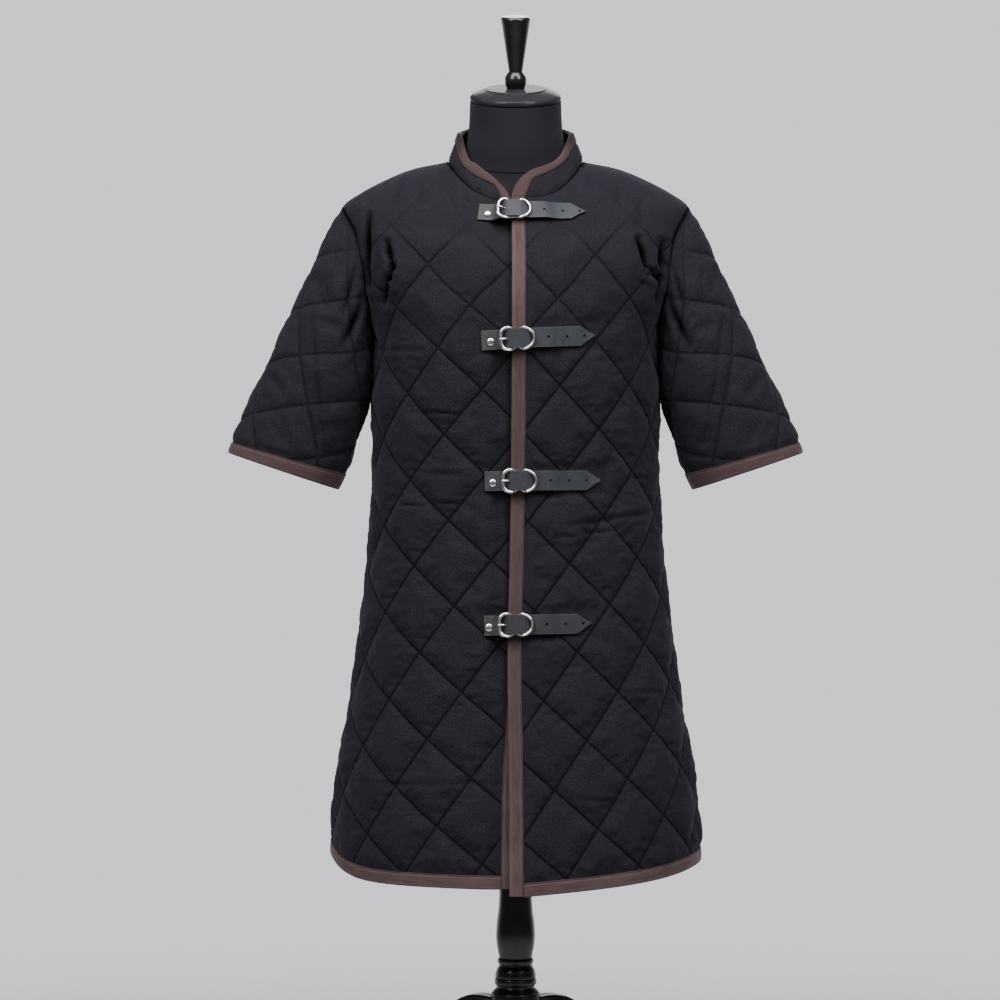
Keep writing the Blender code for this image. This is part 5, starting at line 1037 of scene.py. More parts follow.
for name, side in (("sleeve_left", 1), ("sleeve_right", -1)):
    turns, shares = np.linspace(-math.pi, math.pi, 117), np.linspace(0, 1, 74)
    cuff = levels_to_flat(turns[:-1] * SLEEVE_RADIUS, -SLEEVE_LENGTH)
    right = levels_to_flat(math.pi * SLEEVE_RADIUS, -shares[::-1][:-1] * SLEEVE_LENGTH)
    top = levels_to_flat(turns[::-1][:-1] * SLEEVE_RADIUS, 0.0)
    left = levels_to_flat(-math.pi * SLEEVE_RADIUS, -shares[:-1] * SLEEVE_LENGTH)
    loop = np.vstack([cuff, right, top, left])
    count = len(loop)
    steps = np.arange(-9, 14, 1 / (DIVISIONS * 0.9))
    first, second = grid_of(steps, steps).T
    slopes = np.array([(math.cos(turn), -math.sin(turn)) for turn in (SLEEVE_TURN, SLEEVE_SLANT)])
    up, wide = np.linalg.inv(slopes) @ np.stack([first * SLEEVE_ROW + SLEEVE_PHASE, second * SLEEVE_ROW])
    inside = np.stack([wide, -(1 - up / sleeve_length(np.clip(wide / SLEEVE_RADIUS, -4, 4))) * SLEEVE_LENGTH], -1)
    margin = STEP * 0.55
    inside = inside[(inside > loop.min(0) + margin).all(1) & (inside < loop.max(0) - margin).all(1)]
    flat = np.vstack([loop, inside])
    faces = triangles(flat, loop_edges(count), loop)
    turn, share = flat[:, 0] / SLEEVE_RADIUS, np.clip(-flat[:, 1] / SLEEVE_LENGTH, 0, 1)
    lines = sleeve_lines(turn, share)
    from_cuff = (1 - share) * sleeve_length(turn)
    free = smooth_step(share * SLEEVE_LENGTH, 0.001, 0.020) * smooth_step(from_cuff, BAND, BAND + SWELL_FADE)
    free *= smooth_step(math.pi - np.abs(turn), 0.02, 0.75 - 0.50 * smooth_step(share, 0.35, 0.60))
    base, out = sleeve_place(turn, share, 0.0)
    creased = crease_shift(side, turn, share)
    points = base + out * (PUFF * 0.5 * pillow(*lines) * free + creased)[:, None]
    base, out, points = [rows * (side, 1, 1) for rows in (base, out, points)]
    faces = turned_out(faces, points, out)
    sewn = (stitch_distance(SLEEVE_ROW, *lines) < SEWN_NEAR) | (free < SEWN_FREE) | (np.arange(len(flat)) < count)
    plain = 1 - 0.5 * smooth_step(share, 0.06, 0.20)
    outer = points + (swell(points, faces, sewn) - points) * (1 - 0.6 * plain)[:, None]
    inner_flat = np.vstack([loop, grid_of(np.arange(-0.215, 0.22, 0.018), np.arange(-0.28, 0, 0.018))])
    inner_faces = triangles(inner_flat, loop_edges(count), loop) + len(flat)
    inner_turn, inner_share = inner_flat[:, 0] / SLEEVE_RADIUS, np.clip(-inner_flat[:, 1] / SLEEVE_LENGTH, 0, 1)
    inner = sleeve_place(inner_turn, inner_share, -WALL)[0] * (side, 1, 1)
    # The two long edges meet in the seam under the arm, so the wall is closed along the other two only.
    past_cuff, past_right = len(cuff), len(cuff) + len(right)
    ends = np.r_[:past_cuff, past_right:past_right + len(top)]
    every = np.vstack([faces, inner_faces[:, ::-1], wall_faces(ends, count, len(flat))])
    turn, both_share = np.concatenate([turn, inner_turn]), np.concatenate([share, inner_share])
    piece = meshed(name + "_cloth", np.vstack([outer, inner]), every, [twill], {
        "weave": np.stack([turn * SLEEVE_RADIUS * side, (1 - both_share) * sleeve_length(turn)], -1),
        "quilt": np.stack(sleeve_lines(turn, both_share), -1),
        "relief": relief(-creased, share * SLEEVE_LENGTH, 0.0035, plain, len(inner_flat))})
    settle(piece, "cloth", twill, name)
    float(np.linalg.norm(crosses(base, faces), axis=1).sum() / 2)

# ================================================================ Collar
# A low standing collar of the same twill, lightly padded and unquilted, sewn to the neckline. It is cut away at the
# front, where its two ends pass each other under the first strap.
COLLAR_WALL = 0.004
# The collar's top edge and the inner row of its binding, from the front end to centre back: angle, height.
Run = namedtuple("Run", "place edge_degrees edge_rise row_degrees row_rise")
COLLAR_LEFT = (
    Run(0, -2.9, 0.0003, 7.8, 0.0003), Run(1, -1.6, 0.0090, 8.8, 0.0050), Run(2, 0.5, 0.0176, 10.1, 0.0095),
    Run(3, 4.0, 0.0252, 11.6, 0.0148), Run(4, 8.0, 0.0308, 13.6, 0.0215), Run(5, 14.0, 0.0364, 16.8, 0.0260),
    Run(6, 20.0, 0.0391, 20.8, 0.0282), Run(7, 26.0, 0.0400, 26.0, 0.0292), Run(8, 33.0, 0.0395, 33.0, 0.0295),
    Run(9, 41.0, 0.0369, 41.0, 0.0281), Run(10, 48.5, 0.0348, 49.0, 0.0261), Run(11, 56.0, 0.0347, 56.5, 0.0256),
    Run(12, 65.0, 0.0364, 65.0, 0.0263), Run(13, 78.0, 0.0381, 78.0, 0.0280), Run(14, 95.0, 0.0400, 95.0, 0.0270),
    Run(15, 135.0, 0.0435, 135.0, 0.0320), Run(16, 180.0, 0.0450, 180.0, 0.0335),
)
COLLAR_RIGHT = (
    Run(0, 4.3, 0.0003, 11.1, 0.0003), Run(1, 5.6, 0.0048, 12.3, 0.0037), Run(2, 8.4, 0.0121, 13.8, 0.0074),
    Run(3, 12.4, 0.0193, 16.0, 0.0127), Run(4, 17.6, 0.0256, 19.5, 0.0184), Run(5, 23.0, 0.0288, 23.6, 0.0197),
    Run(6, 29.0, 0.0308, 29.0, 0.0199), Run(7, 36.0, 0.0321, 36.0, 0.0193), Run(8, 44.7, 0.0310, 44.7, 0.0180),
    Run(9, 52.5, 0.0274, 52.5, 0.0171), Run(10, 59.0, 0.0291, 59.0, 0.0180), Run(11, 66.0, 0.0330, 66.0, 0.0201),
    Run(12, 78.0, 0.0372, 78.0, 0.0257), Run(13, 95.0, 0.0400, 95.0, 0.0270), Run(14, 135.0, 0.0435, 135.0, 0.0320),
    Run(15, 180.0, 0.0450, 180.0, 0.0335),
)
LEAN = ((0, 24), (18, 23), (36, 22), (62, 21), (90, 20), (180, 15))


def collar_place(side, degrees, rise, lift):
    """Collar point: rise up the collar from the neckline seam, lift off its outer face."""
    angle = side * np.radians(degrees)
    along = torso_point(angle + 1e-3, NECK_LEVEL) - torso_point(angle - 1e-3, NECK_LEVEL)
    up = np.array([0.0, 0.0, 1.0])
    outward = unit(np.cross(along, up))
    lean = np.radians(np.interp(degrees, *np.array(LEAN).T))[:, None]
    arc = arc_at(np.abs(angle), NECK_LEVEL)
    lapped = np.where(side > 0, RISE * (1 - smooth_step(arc, OVERLAP, RISE_END)),
                      -SINK * (1 - smooth_step(arc, OVERLAP, SINK_END)))
    return (torso_point(angle, NECK_LEVEL) + torso_normal(angle, NECK_LEVEL) * lapped[:, None]
            + (up * np.cos(lean) - outward * np.sin(lean)) * (2 * GAP + rise)[:, None]
            + (outward * np.cos(lean) + up * np.sin(lean)) * lift[:, None])


runs = []
for side, rows in ((1, COLLAR_LEFT), (-1, COLLAR_RIGHT)):
    places = np.linspace(0, len(rows) - 1, 10 * len(rows) - 9)
    run = [column(rows, name, places) for name in Run._fields[1:]]
    runs.append(np.array([side + 0 * places, *run])[:, ::side][:, (side < 0):])
sides, edge_degrees, edge_rise, row_degrees, row_rise = np.hstack(runs)
line = torso_point(sides * np.radians(edge_degrees), NECK_LEVEL)
reach = reach_along(line)
under_strip = np.concatenate([np.interp(run[1], run[3][::int(side)], run[4][::int(side)], left=0)
                              for side, run in zip((1, -1), runs)])
rows, flats = [], []
for outer_face in (True, False):
    for share in np.linspace(0, 1, 15) if outer_face else np.linspace(1, 0, 15):
        rise = share * edge_rise
        from_band = under_strip - rise
        plump = 0.0014 * smooth_step(rise, 0.0, 0.006) * smooth_step(from_band, 0.0, 0.006)
        ripple = 0.0009 * np.sin(reach * 150 + 5 * np.sin(reach * 23)) * smooth_step(rise, 0.001, 0.007)
        ripple = (ripple - 0.0006) * smooth_step(from_band, -0.001, 0.006)
        rows.append(collar_place(sides, edge_degrees, rise, plump + ripple if outer_face else 0 * rise - COLLAR_WALL))
        flats.append(np.stack([reach, rise], -1))
around = len(rows)
points = np.array(rows).transpose(1, 0, 2).reshape(-1, 3)
flat = np.array(flats).transpose(1, 0, 2).reshape(-1, 2)
faces = tube_faces(len(reach), around) + end_faces(len(reach), around)
collar = meshed("collar_cloth", points, faces, [twill], {"weave": flat, "quilt": flat * 0 + 0.5})
settle(collar, "cloth", twill, "collar")

# ================================================================ Bindings
# Strips of dull brown suede folded in half over every raw edge and stitched through near their inner edges. The
# front strips run down to the hem, and the hem strip starts beside them.
BAND_WALL = 0.0011
# Section of a strip's outer half: share of the way from its inner row to the edge, height in thicknesses.
SECTION = ((0.00, 0.20), (0.008, 0.70), (0.03, 0.95), (0.09, 1.05), (0.125, 0.80), (0.16, 1.05), (0.30, 1.22),
           (0.50, 1.32), (0.72, 1.30), (0.90, 1.12), (1.00, 1.00))
FOLD_TURNS = np.radians((68, 42, 14, -14, -42, -68))

suede, shader, start = finish("brown_suede", Sheen_Weight=0.22, Sheen_Roughness=0.4, Sheen_Tint=(0.75, 0.62, 0.60, 1),
                               Specular_IOR_Level=0.25)
strip = start.flat_map("strip")
along, across = strip.split()[:2]
# The inner rows are sewn 2 mm in from the strip's two long edges.
from_row = (across - 0.0021).math("ABSOLUTE")
sewn = 1 - from_row.step(0.0002, 0.0005)
hollow = 1 - from_row.step(0.0003, 0.0011)
stitch = sewn * (1 - ((along / 0.0032).math("FRACT") - 0.5).math("ABSOLUTE").step(0.33, 0.42))
nap = strip.noise(1900.0, 4.0, 0.7)
streak = strip.stretched(16.0, 130.0, 1.0).noise(2.4, 4.0)
patch = strip.noise(13.0, 3.0)
wrinkle = strip.stretched(330.0, 60.0, 1.0).noise(1.0, 3.0)
base = streak.step(0.30, 0.72).mix((0.054, 0.031, 0.031), (0.079, 0.050, 0.049))
base = (patch.step(0.42, 0.70) * 0.55).mix(base, (0.095, 0.062, 0.060))
base = ((nap - 0.5).math("ABSOLUTE") * 1.2).mix(base, (0.026, 0.013, 0.013))
edge = 1 - across.step(0.0003, 0.0011)
# Painted highlight: lighter along the crest of the fold over the edge.
crest = across.step(0.0135, 0.0165) * 0.35
base = crest.mix(base, (0.115, 0.081, 0.078))
# Painted highlight: a lighter line along the ridge beside the inner row.
wear_and_highlight = 1 - (across - 0.0040).math("ABSOLUTE").step(0.0003, 0.0010)
base = (wear_and_highlight * 0.30).mix(base, (0.125, 0.090, 0.087))
# Painted shade: darker along the strip's long edges, where they lie on the cloth, and in the stitched groove.
base = (edge * 0.75 + hollow * 0.45).mix(base, (0.020, 0.010, 0.010))
x, y, z = start.place().split()
# Darker above about 1.32 m, on the collar's binding and the top of the front strips.
base = (z.step(1.31, 1.34) * 0.62).mix(base, (0.040, 0.0215, 0.0210))
# Painted shade: darker between about 0.6 m and 1.2 m up, the height of the straps.
base = (z.step(0.50, 0.72) * (1 - z.step(1.10, 1.25)) * 0.40).mix(base, (0.036, 0.0190, 0.0190))
# Painted shade: nearly black at the back of the neck, where the neck shades the collar's binding.
base = (z.step(1.375, 1.395) * y.step(-0.005, 0.030) * 0.96).mix(base, (0.004, 0.003, 0.003))
pattern(start, shader, (stitch * 0.6).mix(base, (0.068, 0.044, 0.042)), 0.80 + nap * 0.15,
        nap * 0.5 + wrinkle * 0.8 + streak * 0.4 - hollow + stitch * 1.1, 0.0004)


def folded_strip(name, node, edge_outer, edge_inner, row_outer, row_inner, cloths, closed=False, seed=0.0):
    """A strip folded over an edge. The edge and the inner row are given on the cloth's outer and inner face."""
    reach = reach_along(edge_outer)
    up, past = unit(edge_outer - edge_inner), unit(edge_outer - row_outer)
    wall = np.linalg.norm(edge_outer - edge_inner, axis=1)[:, None]
    waver = np.sin(reach * 61 + seed) * 0.5 + np.sin(reach * 143 + seed * 3) * 0.3 + np.sin(reach * 29) * 0.4
    if closed:
        waver *= np.sin(np.linspace(0, math.pi, len(reach)))
    shift, puff = waver[:, None] * 0.00035, (1 + waver * 0.12)[:, None]
    far = GAP + BAND_WALL
    outer, inner = [], []
    for share, height in SECTION:
        for row, edge_line, way, made in ((row_outer, edge_outer, 1, outer), (row_inner, edge_inner, -1, inner)):
            flat_place = row + (edge_line - row) * share - past * shift * (1 - share)
            made.append(flat_place + way * up * (GAP + BAND_WALL * (height if share > 0.98 else height * puff)))
    middle = (edge_outer + edge_inner) / 2
    fold = [middle + up * (wall / 2 + far) * math.sin(t) + past * far * 1.05 * math.cos(t) for t in FOLD_TURNS]
    under = [row_inner - up * GAP - past * shift, edge_inner - up * GAP + past * GAP,
             edge_outer + up * GAP + past * GAP, row_outer + up * GAP - past * shift]
    section = np.array(outer + fold + inner[::-1] + under).transpose(1, 0, 2)
    rows, around = section.shape[:2]
    if closed:
        section, rows = section[:-1], rows - 1
    face_count = len(outer) + len(fold) + len(inner)
    width = np.concatenate([[0], np.cumsum(np.linalg.norm(np.diff(section[:, :face_count], axis=1), axis=2).mean(0))])
    half = width[-1] / 2
    across = np.concatenate([np.minimum(width, width[-1] - width), [0.004, half, half, 0.004]])
    flat = np.stack(np.broadcast_arrays(reach[:rows, None], across[None, :]), -1).reshape(-1, 2)
    faces = tube_faces(rows, around, closed)
    if not closed:
        faces += end_faces(rows, around)
    piece = meshed(name, section.reshape(-1, 3), faces, [suede], {"strip": flat}, 50)
    settle(piece, "binding", suede, node)


def panel_rows(panel, line, row):
    return [cloth_place(panel, flat, lift, folds=False)[0] for flat in (line, row) for lift in (0.0, -WALL)]


for panel, hem, edge in FRONTS:
    parts = front_outline(hem, edge)
    line = np.vstack([parts["front"], parts["bottom"][:1]])
    row = line + (BAND, 0)
    row[-1, 1] = hem_level(hem, hem_share(row[-1:, 0]))[0]
    folded_strip(f"binding_{panel.name}_strip", f"binding_{panel.name}", *panel_rows(panel, line, row),
                 [panel.name + "_cloth"], seed=panel.side * 1.7)

hem_rows = []
for panel, hem, edge in (FRONTS[0], (BACK, HEM_BACK_LEFT, None), (BACK, HEM_BACK_RIGHT, None), FRONTS[1]):
    side_arc = float(arc_at(math.pi / 2, hem.side, panel.back)) - GAP / 2
    start_arc = 0.0 if panel.back else float(column(edge, "arc", hem.centre)) + BAND + 2 * GAP
    arcs = spaced(start_arc, side_arc, STEP)
    if panel.back or panel.side < 0:
        arcs = arcs if hem is HEM_BACK_RIGHT else arcs[::-1]
    line = levels_to_flat(arcs, hem_level(hem, hem_share(arcs, panel.back)))
    if hem is HEM_BACK_RIGHT:
        line[:, 0] *= -1
    keep = slice(None, -1) if hem is not HEM_RIGHT else slice(None)
    hem_rows.append([rows[keep] for rows in panel_rows(panel, line, line + (0, BAND))])
folded_strip("binding_hem_strip", "binding_hem", *[np.vstack(rows) for rows in zip(*hem_rows)],
             ["front_left_cloth", "back_cloth", "front_right_cloth"])

turns = np.linspace(-math.pi, math.pi, 133)
for side, name in ((1, "left"), (-1, "right")):
    rows = [sleeve_place(turns, share, lift)[0] * (side, 1, 1)
            for share in (np.ones(len(turns)), 1 - BAND / sleeve_length(turns)) for lift in (0.0, -WALL)]
    folded_strip(f"binding_cuff_{name}_strip", f"binding_cuff_{name}", *rows, [f"sleeve_{name}_cloth"], closed=True)

rows = [collar_place(sides, degrees, rise, 0 * rise - wall)
        for degrees, rise in ((edge_degrees, edge_rise), (row_degrees, row_rise)) for wall in (0.0, COLLAR_WALL)]
folded_strip("binding_collar_strip", "binding_collar", *rows, ["collar_cloth"])

# ================================================================ Closures
# Four straps of black leather, riveted to the right front at one end and cut to a point at the other. Each goes
# under the rims and over the centre bar of a nickel buckle, which a narrow chape holds to the left front.
STRAP_WALL, STRAP_POINT, RIVET_X, RIVET_ASIDE = 0.0022, 0.0205, -0.0368, -0.0025
STRAP_HOLES, HOLE = (0.0368, 0.0620, 0.0850), 0.0016
POINT_SHARES = (0.12, 0.25, 0.4, 0.55, 0.7, 0.85, 0.95, 0.99)
CUT_STEP = 0.002  # spacing of points along a cut edge
SLOT_X, SLOT_HALF_LENGTH, SLOT_HALF_WIDTH = -0.0155, 0.0025, 0.0016
Bend = namedtuple("Bend", "x lift")
# Underside of a strap: distance across the front, lift off the cloth.
STRAP_RUN = (
    Bend(-0.0550, 0.0004), Bend(-0.0330, 0.0004), Bend(-0.0255, 0.0030), Bend(-0.0205, 0.0065), Bend(-0.0165, 0.0095),
    Bend(-0.0135, 0.0122), Bend(-0.0100, 0.0132), Bend(0.0000, 0.0132), Bend(0.0060, 0.0126), Bend(0.0115, 0.0105),
    Bend(0.0155, 0.0085), Bend(0.0190, 0.0078), Bend(0.0300, 0.0071), Bend(0.0400, 0.0060), Bend(0.0500, 0.0030),
    Bend(0.0600, 0.0011), Bend(0.0720, 0.0008), Bend(0.1100, 0.0008),
)
# Middle of a chape: on the cloth, and back over itself behind the bar.
CHAPE_WIDTH, CHAPE_WALL = 0.021, 0.0015
CHAPE_UNDER = (Bend(0.0390, 0.0030), Bend(0.0300, 0.0039), Bend(0.0190, 0.0044), Bend(0.0135, 0.0057),
               Bend(0.0115, 0.0062))
CHAPE_OVER = (Bend(0.0060, 0.0099), Bend(0.0115, 0.0081), Bend(0.0150, 0.0071), Bend(0.0190, 0.0063),
              Bend(0.0300, 0.0058), Bend(0.0370, 0.0050))
BAR, BAR_X, BAR_LIFT = 0.0014, -0.003, 0.0089
BUCKLE_HALF, BUCKLE_LEFT, BUCKLE_RIGHT, RIM_LIFT = 0.0152, -0.0228, 0.0182, 0.0134
BUCKLE_WAIST, WAIST_LENGTH = 0.0046, 0.0060
SQUARE_LEFT, SQUARE_RIGHT = 3.6, 2.2  # 2 is round, more is squarer
WIRE, TONGUE = 0.0018, 0.0011


def front_place(closure, x, aside, lift):
    """Place on the fronts: x along the strap from its buckle, aside across it, lift off the sewing surface."""
    x = np.asarray(x, float) + closure.shift
    before, here, after = [torso_point(angle_at(at, closure_level(closure, at)), closure_level(closure, at))
                           for at in (x - 1e-3, x, x + 1e-3)]
    out = torso_normal(angle_at(x, closure_level(closure, x)), closure_level(closure, x))
    return here + unit(np.cross(out, after - before)) * np.asarray(aside)[:, None] + out * np.asarray(lift)[:, None]


def corners_of(piece):
    points = np.empty(len(piece.data.vertices) * 3)
    piece.data.vertices.foreach_get("co", points)
    return points.reshape(-1, 3)


def laid(piece, name, closure, made, slot, path=None):
    """A copy of a flat piece, laid on the fronts. With a path of (x, lift) it is bent along that first."""
    copy = linked(name + "_" + piece.name, piece.data.copy())
    x, aside, lift = corners_of(copy).T
    if path is not None:
        ahead = unit(np.gradient(path, axis=0))
        ahead_x, ahead_lift, path_x, path_lift = [np.interp(x, reach_along(path), v) for v in (*ahead.T, *path.T)]
        x, lift = path_x + ahead_lift * lift, path_lift - ahead_x * lift
    copy.data.vertices.foreach_set("co", front_place(closure, x, aside, lift).ravel())
    copy.data.update()
    settle(copy, slot, made, name)


def cut_leather(name, outline, holes, wall):
    """Leather cut flat to an outline, with holes punched in it and its edges rounded."""
    loops = [np.array(outline)] + [np.array(hole) for hole in holes]
    low, high = loops[0].min(0), loops[0].max(0)
    fill = grid_of(*[np.arange(a + 0.001, b, 0.0018) for a, b in zip(low, high)])
    for loop in loops:
        clear = distance_to_line(fill, np.vstack([loop, loop[:1]])) > 0.0008
        fill = fill[clear & (inside_loop(fill, loop) == (loop is loops[0]))]
    edges, first = [], 0
    for loop in loops:
        edges += loop_edges(len(loop), first)
        first += len(loop)
    flat = np.vstack(loops + [fill])
    piece = meshed(name, np.column_stack([flat, flat[:, :1] * 0]), triangles(flat, edges, loops[0], loops[1:]), [],
                   {"hide": flat})
    bpy.context.view_layer.objects.active = piece
    thicken = piece.modifiers.new("wall", "SOLIDIFY")
    thicken.thickness, thicken.offset = wall, 0
    bpy.ops.object.modifier_apply(modifier="wall")
    soften = piece.modifiers.new("edges", "BEVEL")
    soften.width, soften.segments, soften.angle_limit = wall * 0.28, 3, math.radians(50)
    bpy.ops.object.modifier_apply(modifier="edges")
    piece.data.shade_smooth()
    return piece


def ring_loop(x, half_length, half_width, count):
    """A round hole, or a slot with round ends."""
    turns = np.linspace(0, math.tau, count, endpoint=False)
    stretch = np.sign(np.round(np.cos(turns), 3)) * (half_length - half_width)
    return np.stack([x + stretch + half_width * np.cos(turns), half_width * np.sin(turns)], -1)


leather, shader, start = finish("black_leather", Coat_Weight=0.12, Coat_Roughness=0.35, Specular_IOR_Level=0.42)
hide = start.flat_map("hide")
along, aside = hide.split()[:2]
place = start.place()
cells = place.add("ShaderNodeTexVoronoi", {"feature": "DISTANCE_TO_EDGE"}, {"Vector": place, "Scale": 1300.0})
pore = cells.step(0.0, 0.16)
creased = hide.stretched(420.0, 70.0, 1.0).noise(1.0, 4.0, 0.6)
cloud = place.noise(70.0, 4.0, 0.6)
base = cloud.step(0.30, 0.72).mix((0.0118, 0.0136, 0.0200), (0.0225, 0.0258, 0.0370))
# Painted shade: the lowest strap, below about 0.86 m, is darker.
lowest = 1 - place.split()[2].step(0.84, 0.88)
base = (lowest * 0.55).mix(base, (0.0080, 0.0080, 0.0088))
# Wear: a brown rubbed patch towards the riveted end.
wear_and_highlight = (1 - along.step(-0.034, -0.018)) * place.noise(210.0, 3.0, 0.6).step(0.40, 0.62)
base = (wear_and_highlight * 0.8).mix(base, (0.070, 0.048, 0.042))
rim = aside.math("ABSOLUTE").step(0.0112, 0.0127)
base = (rim * place.noise(160.0, 3.0).step(0.35, 0.7) * 0.7).mix(base, (0.075, 0.073, 0.078))
tip = along.step(0.082, 0.104) * place.noise(240.0, 3.0).step(0.42, 0.62)
base = (tip * 0.5).mix(base, (0.110, 0.102, 0.100))
pattern(start, shader, ((1 - pore) * 0.35).mix(base, (0.008, 0.0085, 0.0105)), 0.46 + cloud * 0.18 + wear_and_highlight * 0.2,
        pore * 0.35 + creased * 0.7 + cloud * 0.8, 0.00022)

nickel, shader, start = finish("nickel", Metallic=1.0)
place = start.place()
brushed = place.stretched(300.0, 300.0, 2600.0).noise(1.0, 3.0)
dull = place.noise(240.0, 3.0)
pattern(start, shader, dull.step(0.35, 0.75).mix((0.90, 0.89, 0.87), (0.74, 0.72, 0.70)), 0.16 + dull * 0.16,
        brushed * 0.25 + dull * 0.5, 0.00012)

half = CHAPE_WIDTH / 2
loop_turns = np.radians(np.arange(-90, -271, -20))
bend = BAR + GAP + CHAPE_WALL / 2
loop_path = [(BAR_X + bend * math.cos(t), BAR_LIFT + bend * math.sin(t)) for t in loop_turns]
chape_path = np.array([*CHAPE_UNDER, *loop_path, *CHAPE_OVER])
runs = np.linalg.norm(np.diff(chape_path, axis=0), axis=1)
bar_start, bar_end = runs[:len(CHAPE_UNDER)].sum(), runs[:len(CHAPE_UNDER) + len(loop_turns)].sum()
chape_outline = [(x, -half) for x in spaced(0, runs.sum(), CUT_STEP)]
chape_outline += [(x, half) for x in spaced(runs.sum(), 0, CUT_STEP)]
tongue_gap = ring_loop((bar_start + bar_end) / 2, (bar_end - bar_start) / 2 + 0.003, TONGUE + 0.0012, 24)
chape = cut_leather("leather_fold", chape_outline, [tongue_gap], CHAPE_WALL)

# The frame: a ring of wire pressed to a squarish loop and a round loop, dipped at the bar between them.
turns = np.linspace(0, math.tau, 145)
sine, cosine = np.sin(turns), np.cos(turns)
power = 2 / np.where(cosine > 0, SQUARE_RIGHT, SQUARE_LEFT)
half_width = np.where(cosine > 0, BUCKLE_RIGHT - BAR_X, BAR_X - BUCKLE_LEFT)
across = half_width * np.sign(cosine) * np.abs(cosine) ** power
drawn_in = BUCKLE_WAIST * np.exp(-((across / WAIST_LENGTH) ** 2))
shape = np.column_stack([BAR_X + across, np.sign(sine) * (BUCKLE_HALF * np.abs(sine) ** power - drawn_in)])
spread = reach_along(shape)
ahead = unit(np.vstack([shape[1:], shape[1:2]]) - np.vstack([shape[-2:-1], shape[:-1]]))
bpy.ops.object.select_all(action="DESELECT")
bpy.ops.mesh.primitive_torus_add(major_radius=BUCKLE_HALF, minor_radius=WIRE, major_segments=96, minor_segments=14)
frame_piece = bpy.context.object
frame_piece.name = "wire_frame"
x, y, z = corners_of(frame_piece).T
share = (np.arctan2(y, x) / math.tau % 1.0) * spread[-1]
off = np.hypot(x, y) - BUCKLE_HALF
wire_x, wire_y, ahead_x, ahead_y = [np.interp(share, spread, v) for v in (*shape.T, *ahead.T)]
stout = 1 + 0.35 * smooth_step(-wire_x, 0.015, 0.021)
off, z = off * stout, z * stout
x, y = wire_x + ahead_y * off, wire_y - ahead_x * off
dip = (RIM_LIFT - BAR_LIFT) * smooth_step(np.abs(x - BAR_X) / 0.012, 0, 1)
frame_piece.data.vertices.foreach_set("co", np.column_stack([x, y, BAR_LIFT + dip + z]).ravel())
reach = BUCKLE_HALF - BUCKLE_WAIST
bar = turned("bar", (Turn(-reach, BAR * 0.9), Turn(-reach * 0.5, BAR), Turn(reach * 0.5, BAR), Turn(reach, BAR * 0.9)),
             16, 3, (0, 0, 0))
bar.data.transform(Matrix.Translation((BAR_X, 0, BAR_LIFT)) @ Matrix.Rotation(math.pi / 2, 4, "X"))
frame_piece.select_set(True)
bpy.context.view_layer.objects.active = frame_piece
bpy.ops.object.join()
bpy.ops.object.shade_smooth_by_angle(angle=math.radians(50))

hook = BAR + GAP + TONGUE
over = RIM_LIFT + WIRE + GAP / 2 + TONGUE * 0.9
tongue_path = [(BAR_X + hook * math.cos(t), BAR_LIFT + hook * math.sin(t)) for t in np.radians((-30, 0, 30, 60, 88))]
tongue_path += [(-0.0080, 0.0112), (-0.0115, 0.0118), (-0.0150, 0.0128), (-0.0180, over - 0.0008), (-0.0228, over),
                (-0.0252, over - 0.0008)]
tongue_path = rounded(tongue_path, 6)
length = np.linalg.norm(np.diff(tongue_path, axis=0), axis=1).sum()
taper = ((0, 0.9), (0.3, 1.15), (0.8, 1.05), (0.96, 0.85), (1, 0.4))
tongue = turned("forged_pin", [Turn(share * length, TONGUE * thick) for share, thick in taper], 16, 8, (0, 0, 0))
tongue.data.transform(Matrix.Rotation(math.pi / 2, 4, "Y"))
rivet_path = (Turn(0, 0.0049), Turn(0.0004, 0.0050), Turn(0.0009, 0.0047), Turn(0.0015, 0.0038), Turn(0.0019, 0.0025),
              Turn(0.0021, 0.0008))
rivet = turned("domed_head", rivet_path, 32, 4, (0, 0, 0))
seat_lift = np.interp(RIVET_X, *np.array(STRAP_RUN).T) + STRAP_WALL + GAP
rivet.data.transform(Matrix.Translation((RIVET_X, RIVET_ASIDE, seat_lift)))

for number, closure in enumerate(CLOSURES, 1):
    half = STRAP_WIDTH / 2
    end, shoulder = closure.end, closure.tip - STRAP_POINT
    outline = [(x, -half) for x in spaced(end, shoulder, CUT_STEP)]
    outline += [(shoulder + STRAP_POINT * t, -half * (1 - t) ** 1.08) for t in POINT_SHARES]
    outline += [(x, -y) for x, y in reversed(outline)]
    holes = [ring_loop(x, HOLE, HOLE, 14) for x in STRAP_HOLES]
    holes.append(ring_loop(SLOT_X, SLOT_HALF_LENGTH, SLOT_HALF_WIDTH, 20))
    strap = cut_leather("cut_leather", outline, holes, STRAP_WALL)
    flat = corners_of(strap)
    run = rounded(STRAP_RUN, 8)
    flat[:, 2] += np.interp(flat[:, 0], *run.T) + STRAP_WALL / 2
    strap.data.vertices.foreach_set("co", flat.ravel())
    laid(strap, f"strap_{number}", closure, leather, "leather")
    laid(chape, f"chape_{number}", closure, leather, "leather", chape_path)
    laid(frame_piece, f"buckle_{number}", closure, nickel, "nickel")
    laid(tongue, f"tongue_{number}", closure, nickel, "nickel", tongue_path)
    laid(rivet, f"rivet_{number}", closure, nickel, "nickel")
    bpy.data.objects.remove(strap)
for model in (chape, frame_piece, tongue, rivet):
    bpy.data.objects.remove(model)

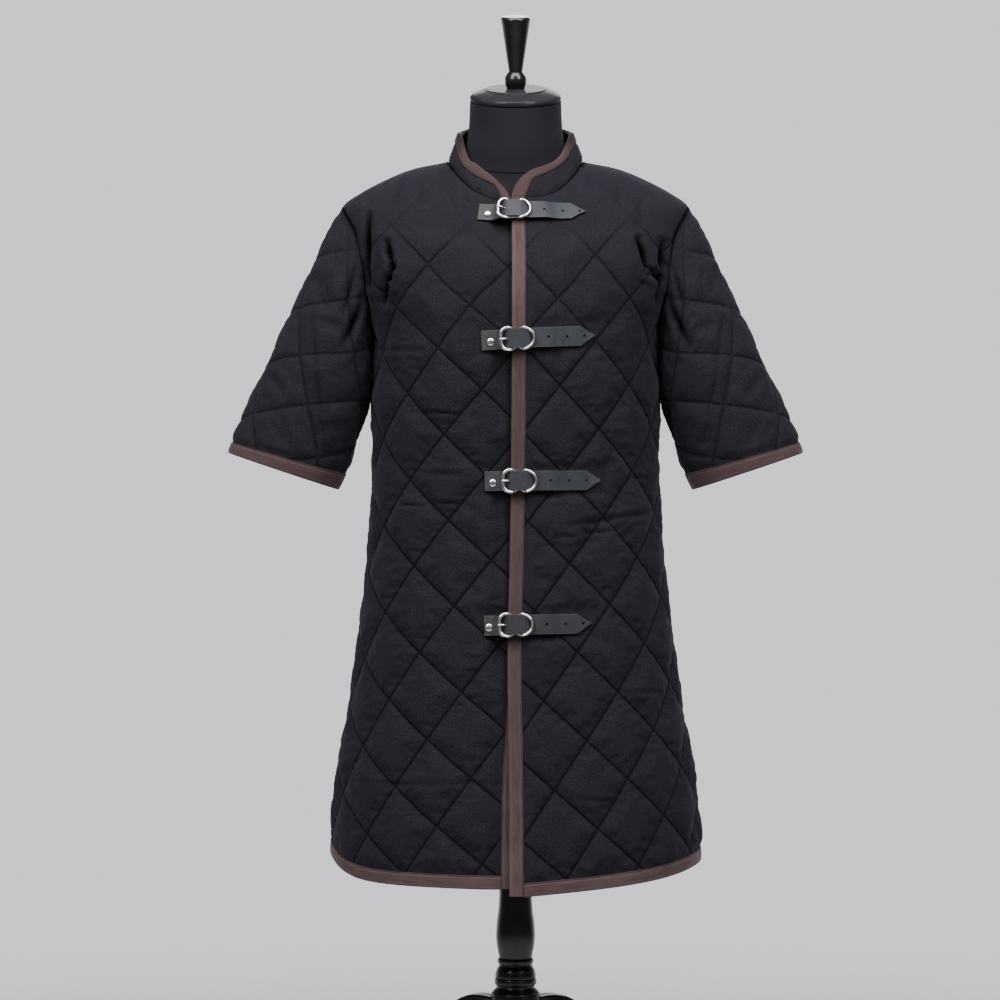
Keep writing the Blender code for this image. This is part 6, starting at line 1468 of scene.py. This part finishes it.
# ================================================================ Studio
# A pale grey floor that melts into an even grey surround, lit by broad soft boxes in front and above, with the
# camera level at chest height and a little to the wearer's right.
bpy.ops.object.select_all(action="DESELECT")
bpy.ops.mesh.primitive_circle_add(vertices=96, radius=4.4, fill_type="TRIFAN")
floor = bpy.context.object
floor.name = "floor"
paper, shader, start = finish("pale_floor", Roughness=0.9)
place = start.place()
length = start.add("ShaderNodeVectorMath", {"operation": "LENGTH"}, {0: place}, 1)
start.feed(shader.inputs["Base Color"], place.noise(3.0, 3.0).mix((0.50, 0.50, 0.51), (0.52, 0.52, 0.53)))
blended(start, shader, length.step(0.7, 3.0), start.add("ShaderNodeBsdfTransparent"))
floor.data.materials.append(paper)

Box = namedtuple("Box", "name place turn size watts")
for box in (
    Box("soft_box_left", (-1.7, -2.1, 3.2), (50, 0, -38), (1.1, 1.8), 104),
    Box("soft_box_right", (1.7, -2.1, 3.2), (50, 0, 38), (1.1, 1.8), 92),
    Box("soft_box_top", (0.0, -1.3, 3.5), (30, 0, 0), (2.0, 1.0), 75),
    Box("soft_box_back", (0.4, 3.2, 2.9), (-52, 0, 0), (2.4, 1.6), 60),
):
    bpy.ops.object.light_add(type="AREA", location=box.place, rotation=[math.radians(t) for t in box.turn])
    light = bpy.context.object
    light.name = box.name
    light.data.shape = "RECTANGLE"
    light.data.size, light.data.size_y = box.size
    light.data.energy = box.watts

bpy.ops.object.camera_add(location=(-0.0207, AXIS_Y - 4.5, 0.965), rotation=(math.pi / 2, 0, 0))
camera = bpy.context.object
camera.data.lens = 121.5
camera.data.sensor_width = 36.0
camera.data.clip_end = 60.0
bpy.context.scene.camera = camera

world = bpy.context.scene.world or bpy.data.worlds.new("surround")
bpy.context.scene.world = world
world.use_nodes = True
start = Socket(world.node_tree)
direction = start.add("ShaderNodeTexCoord", output=0)
_, ahead, up = direction.split()
surround = world.node_tree.nodes["Background"]
behind = ahead.step(0.2, 0.9) * (1 - up.step(0.155, 0.24))
start.feed(surround.inputs["Color"], behind.mix((0.11, 0.11, 0.12), (1.07, 1.04, 1.12)))
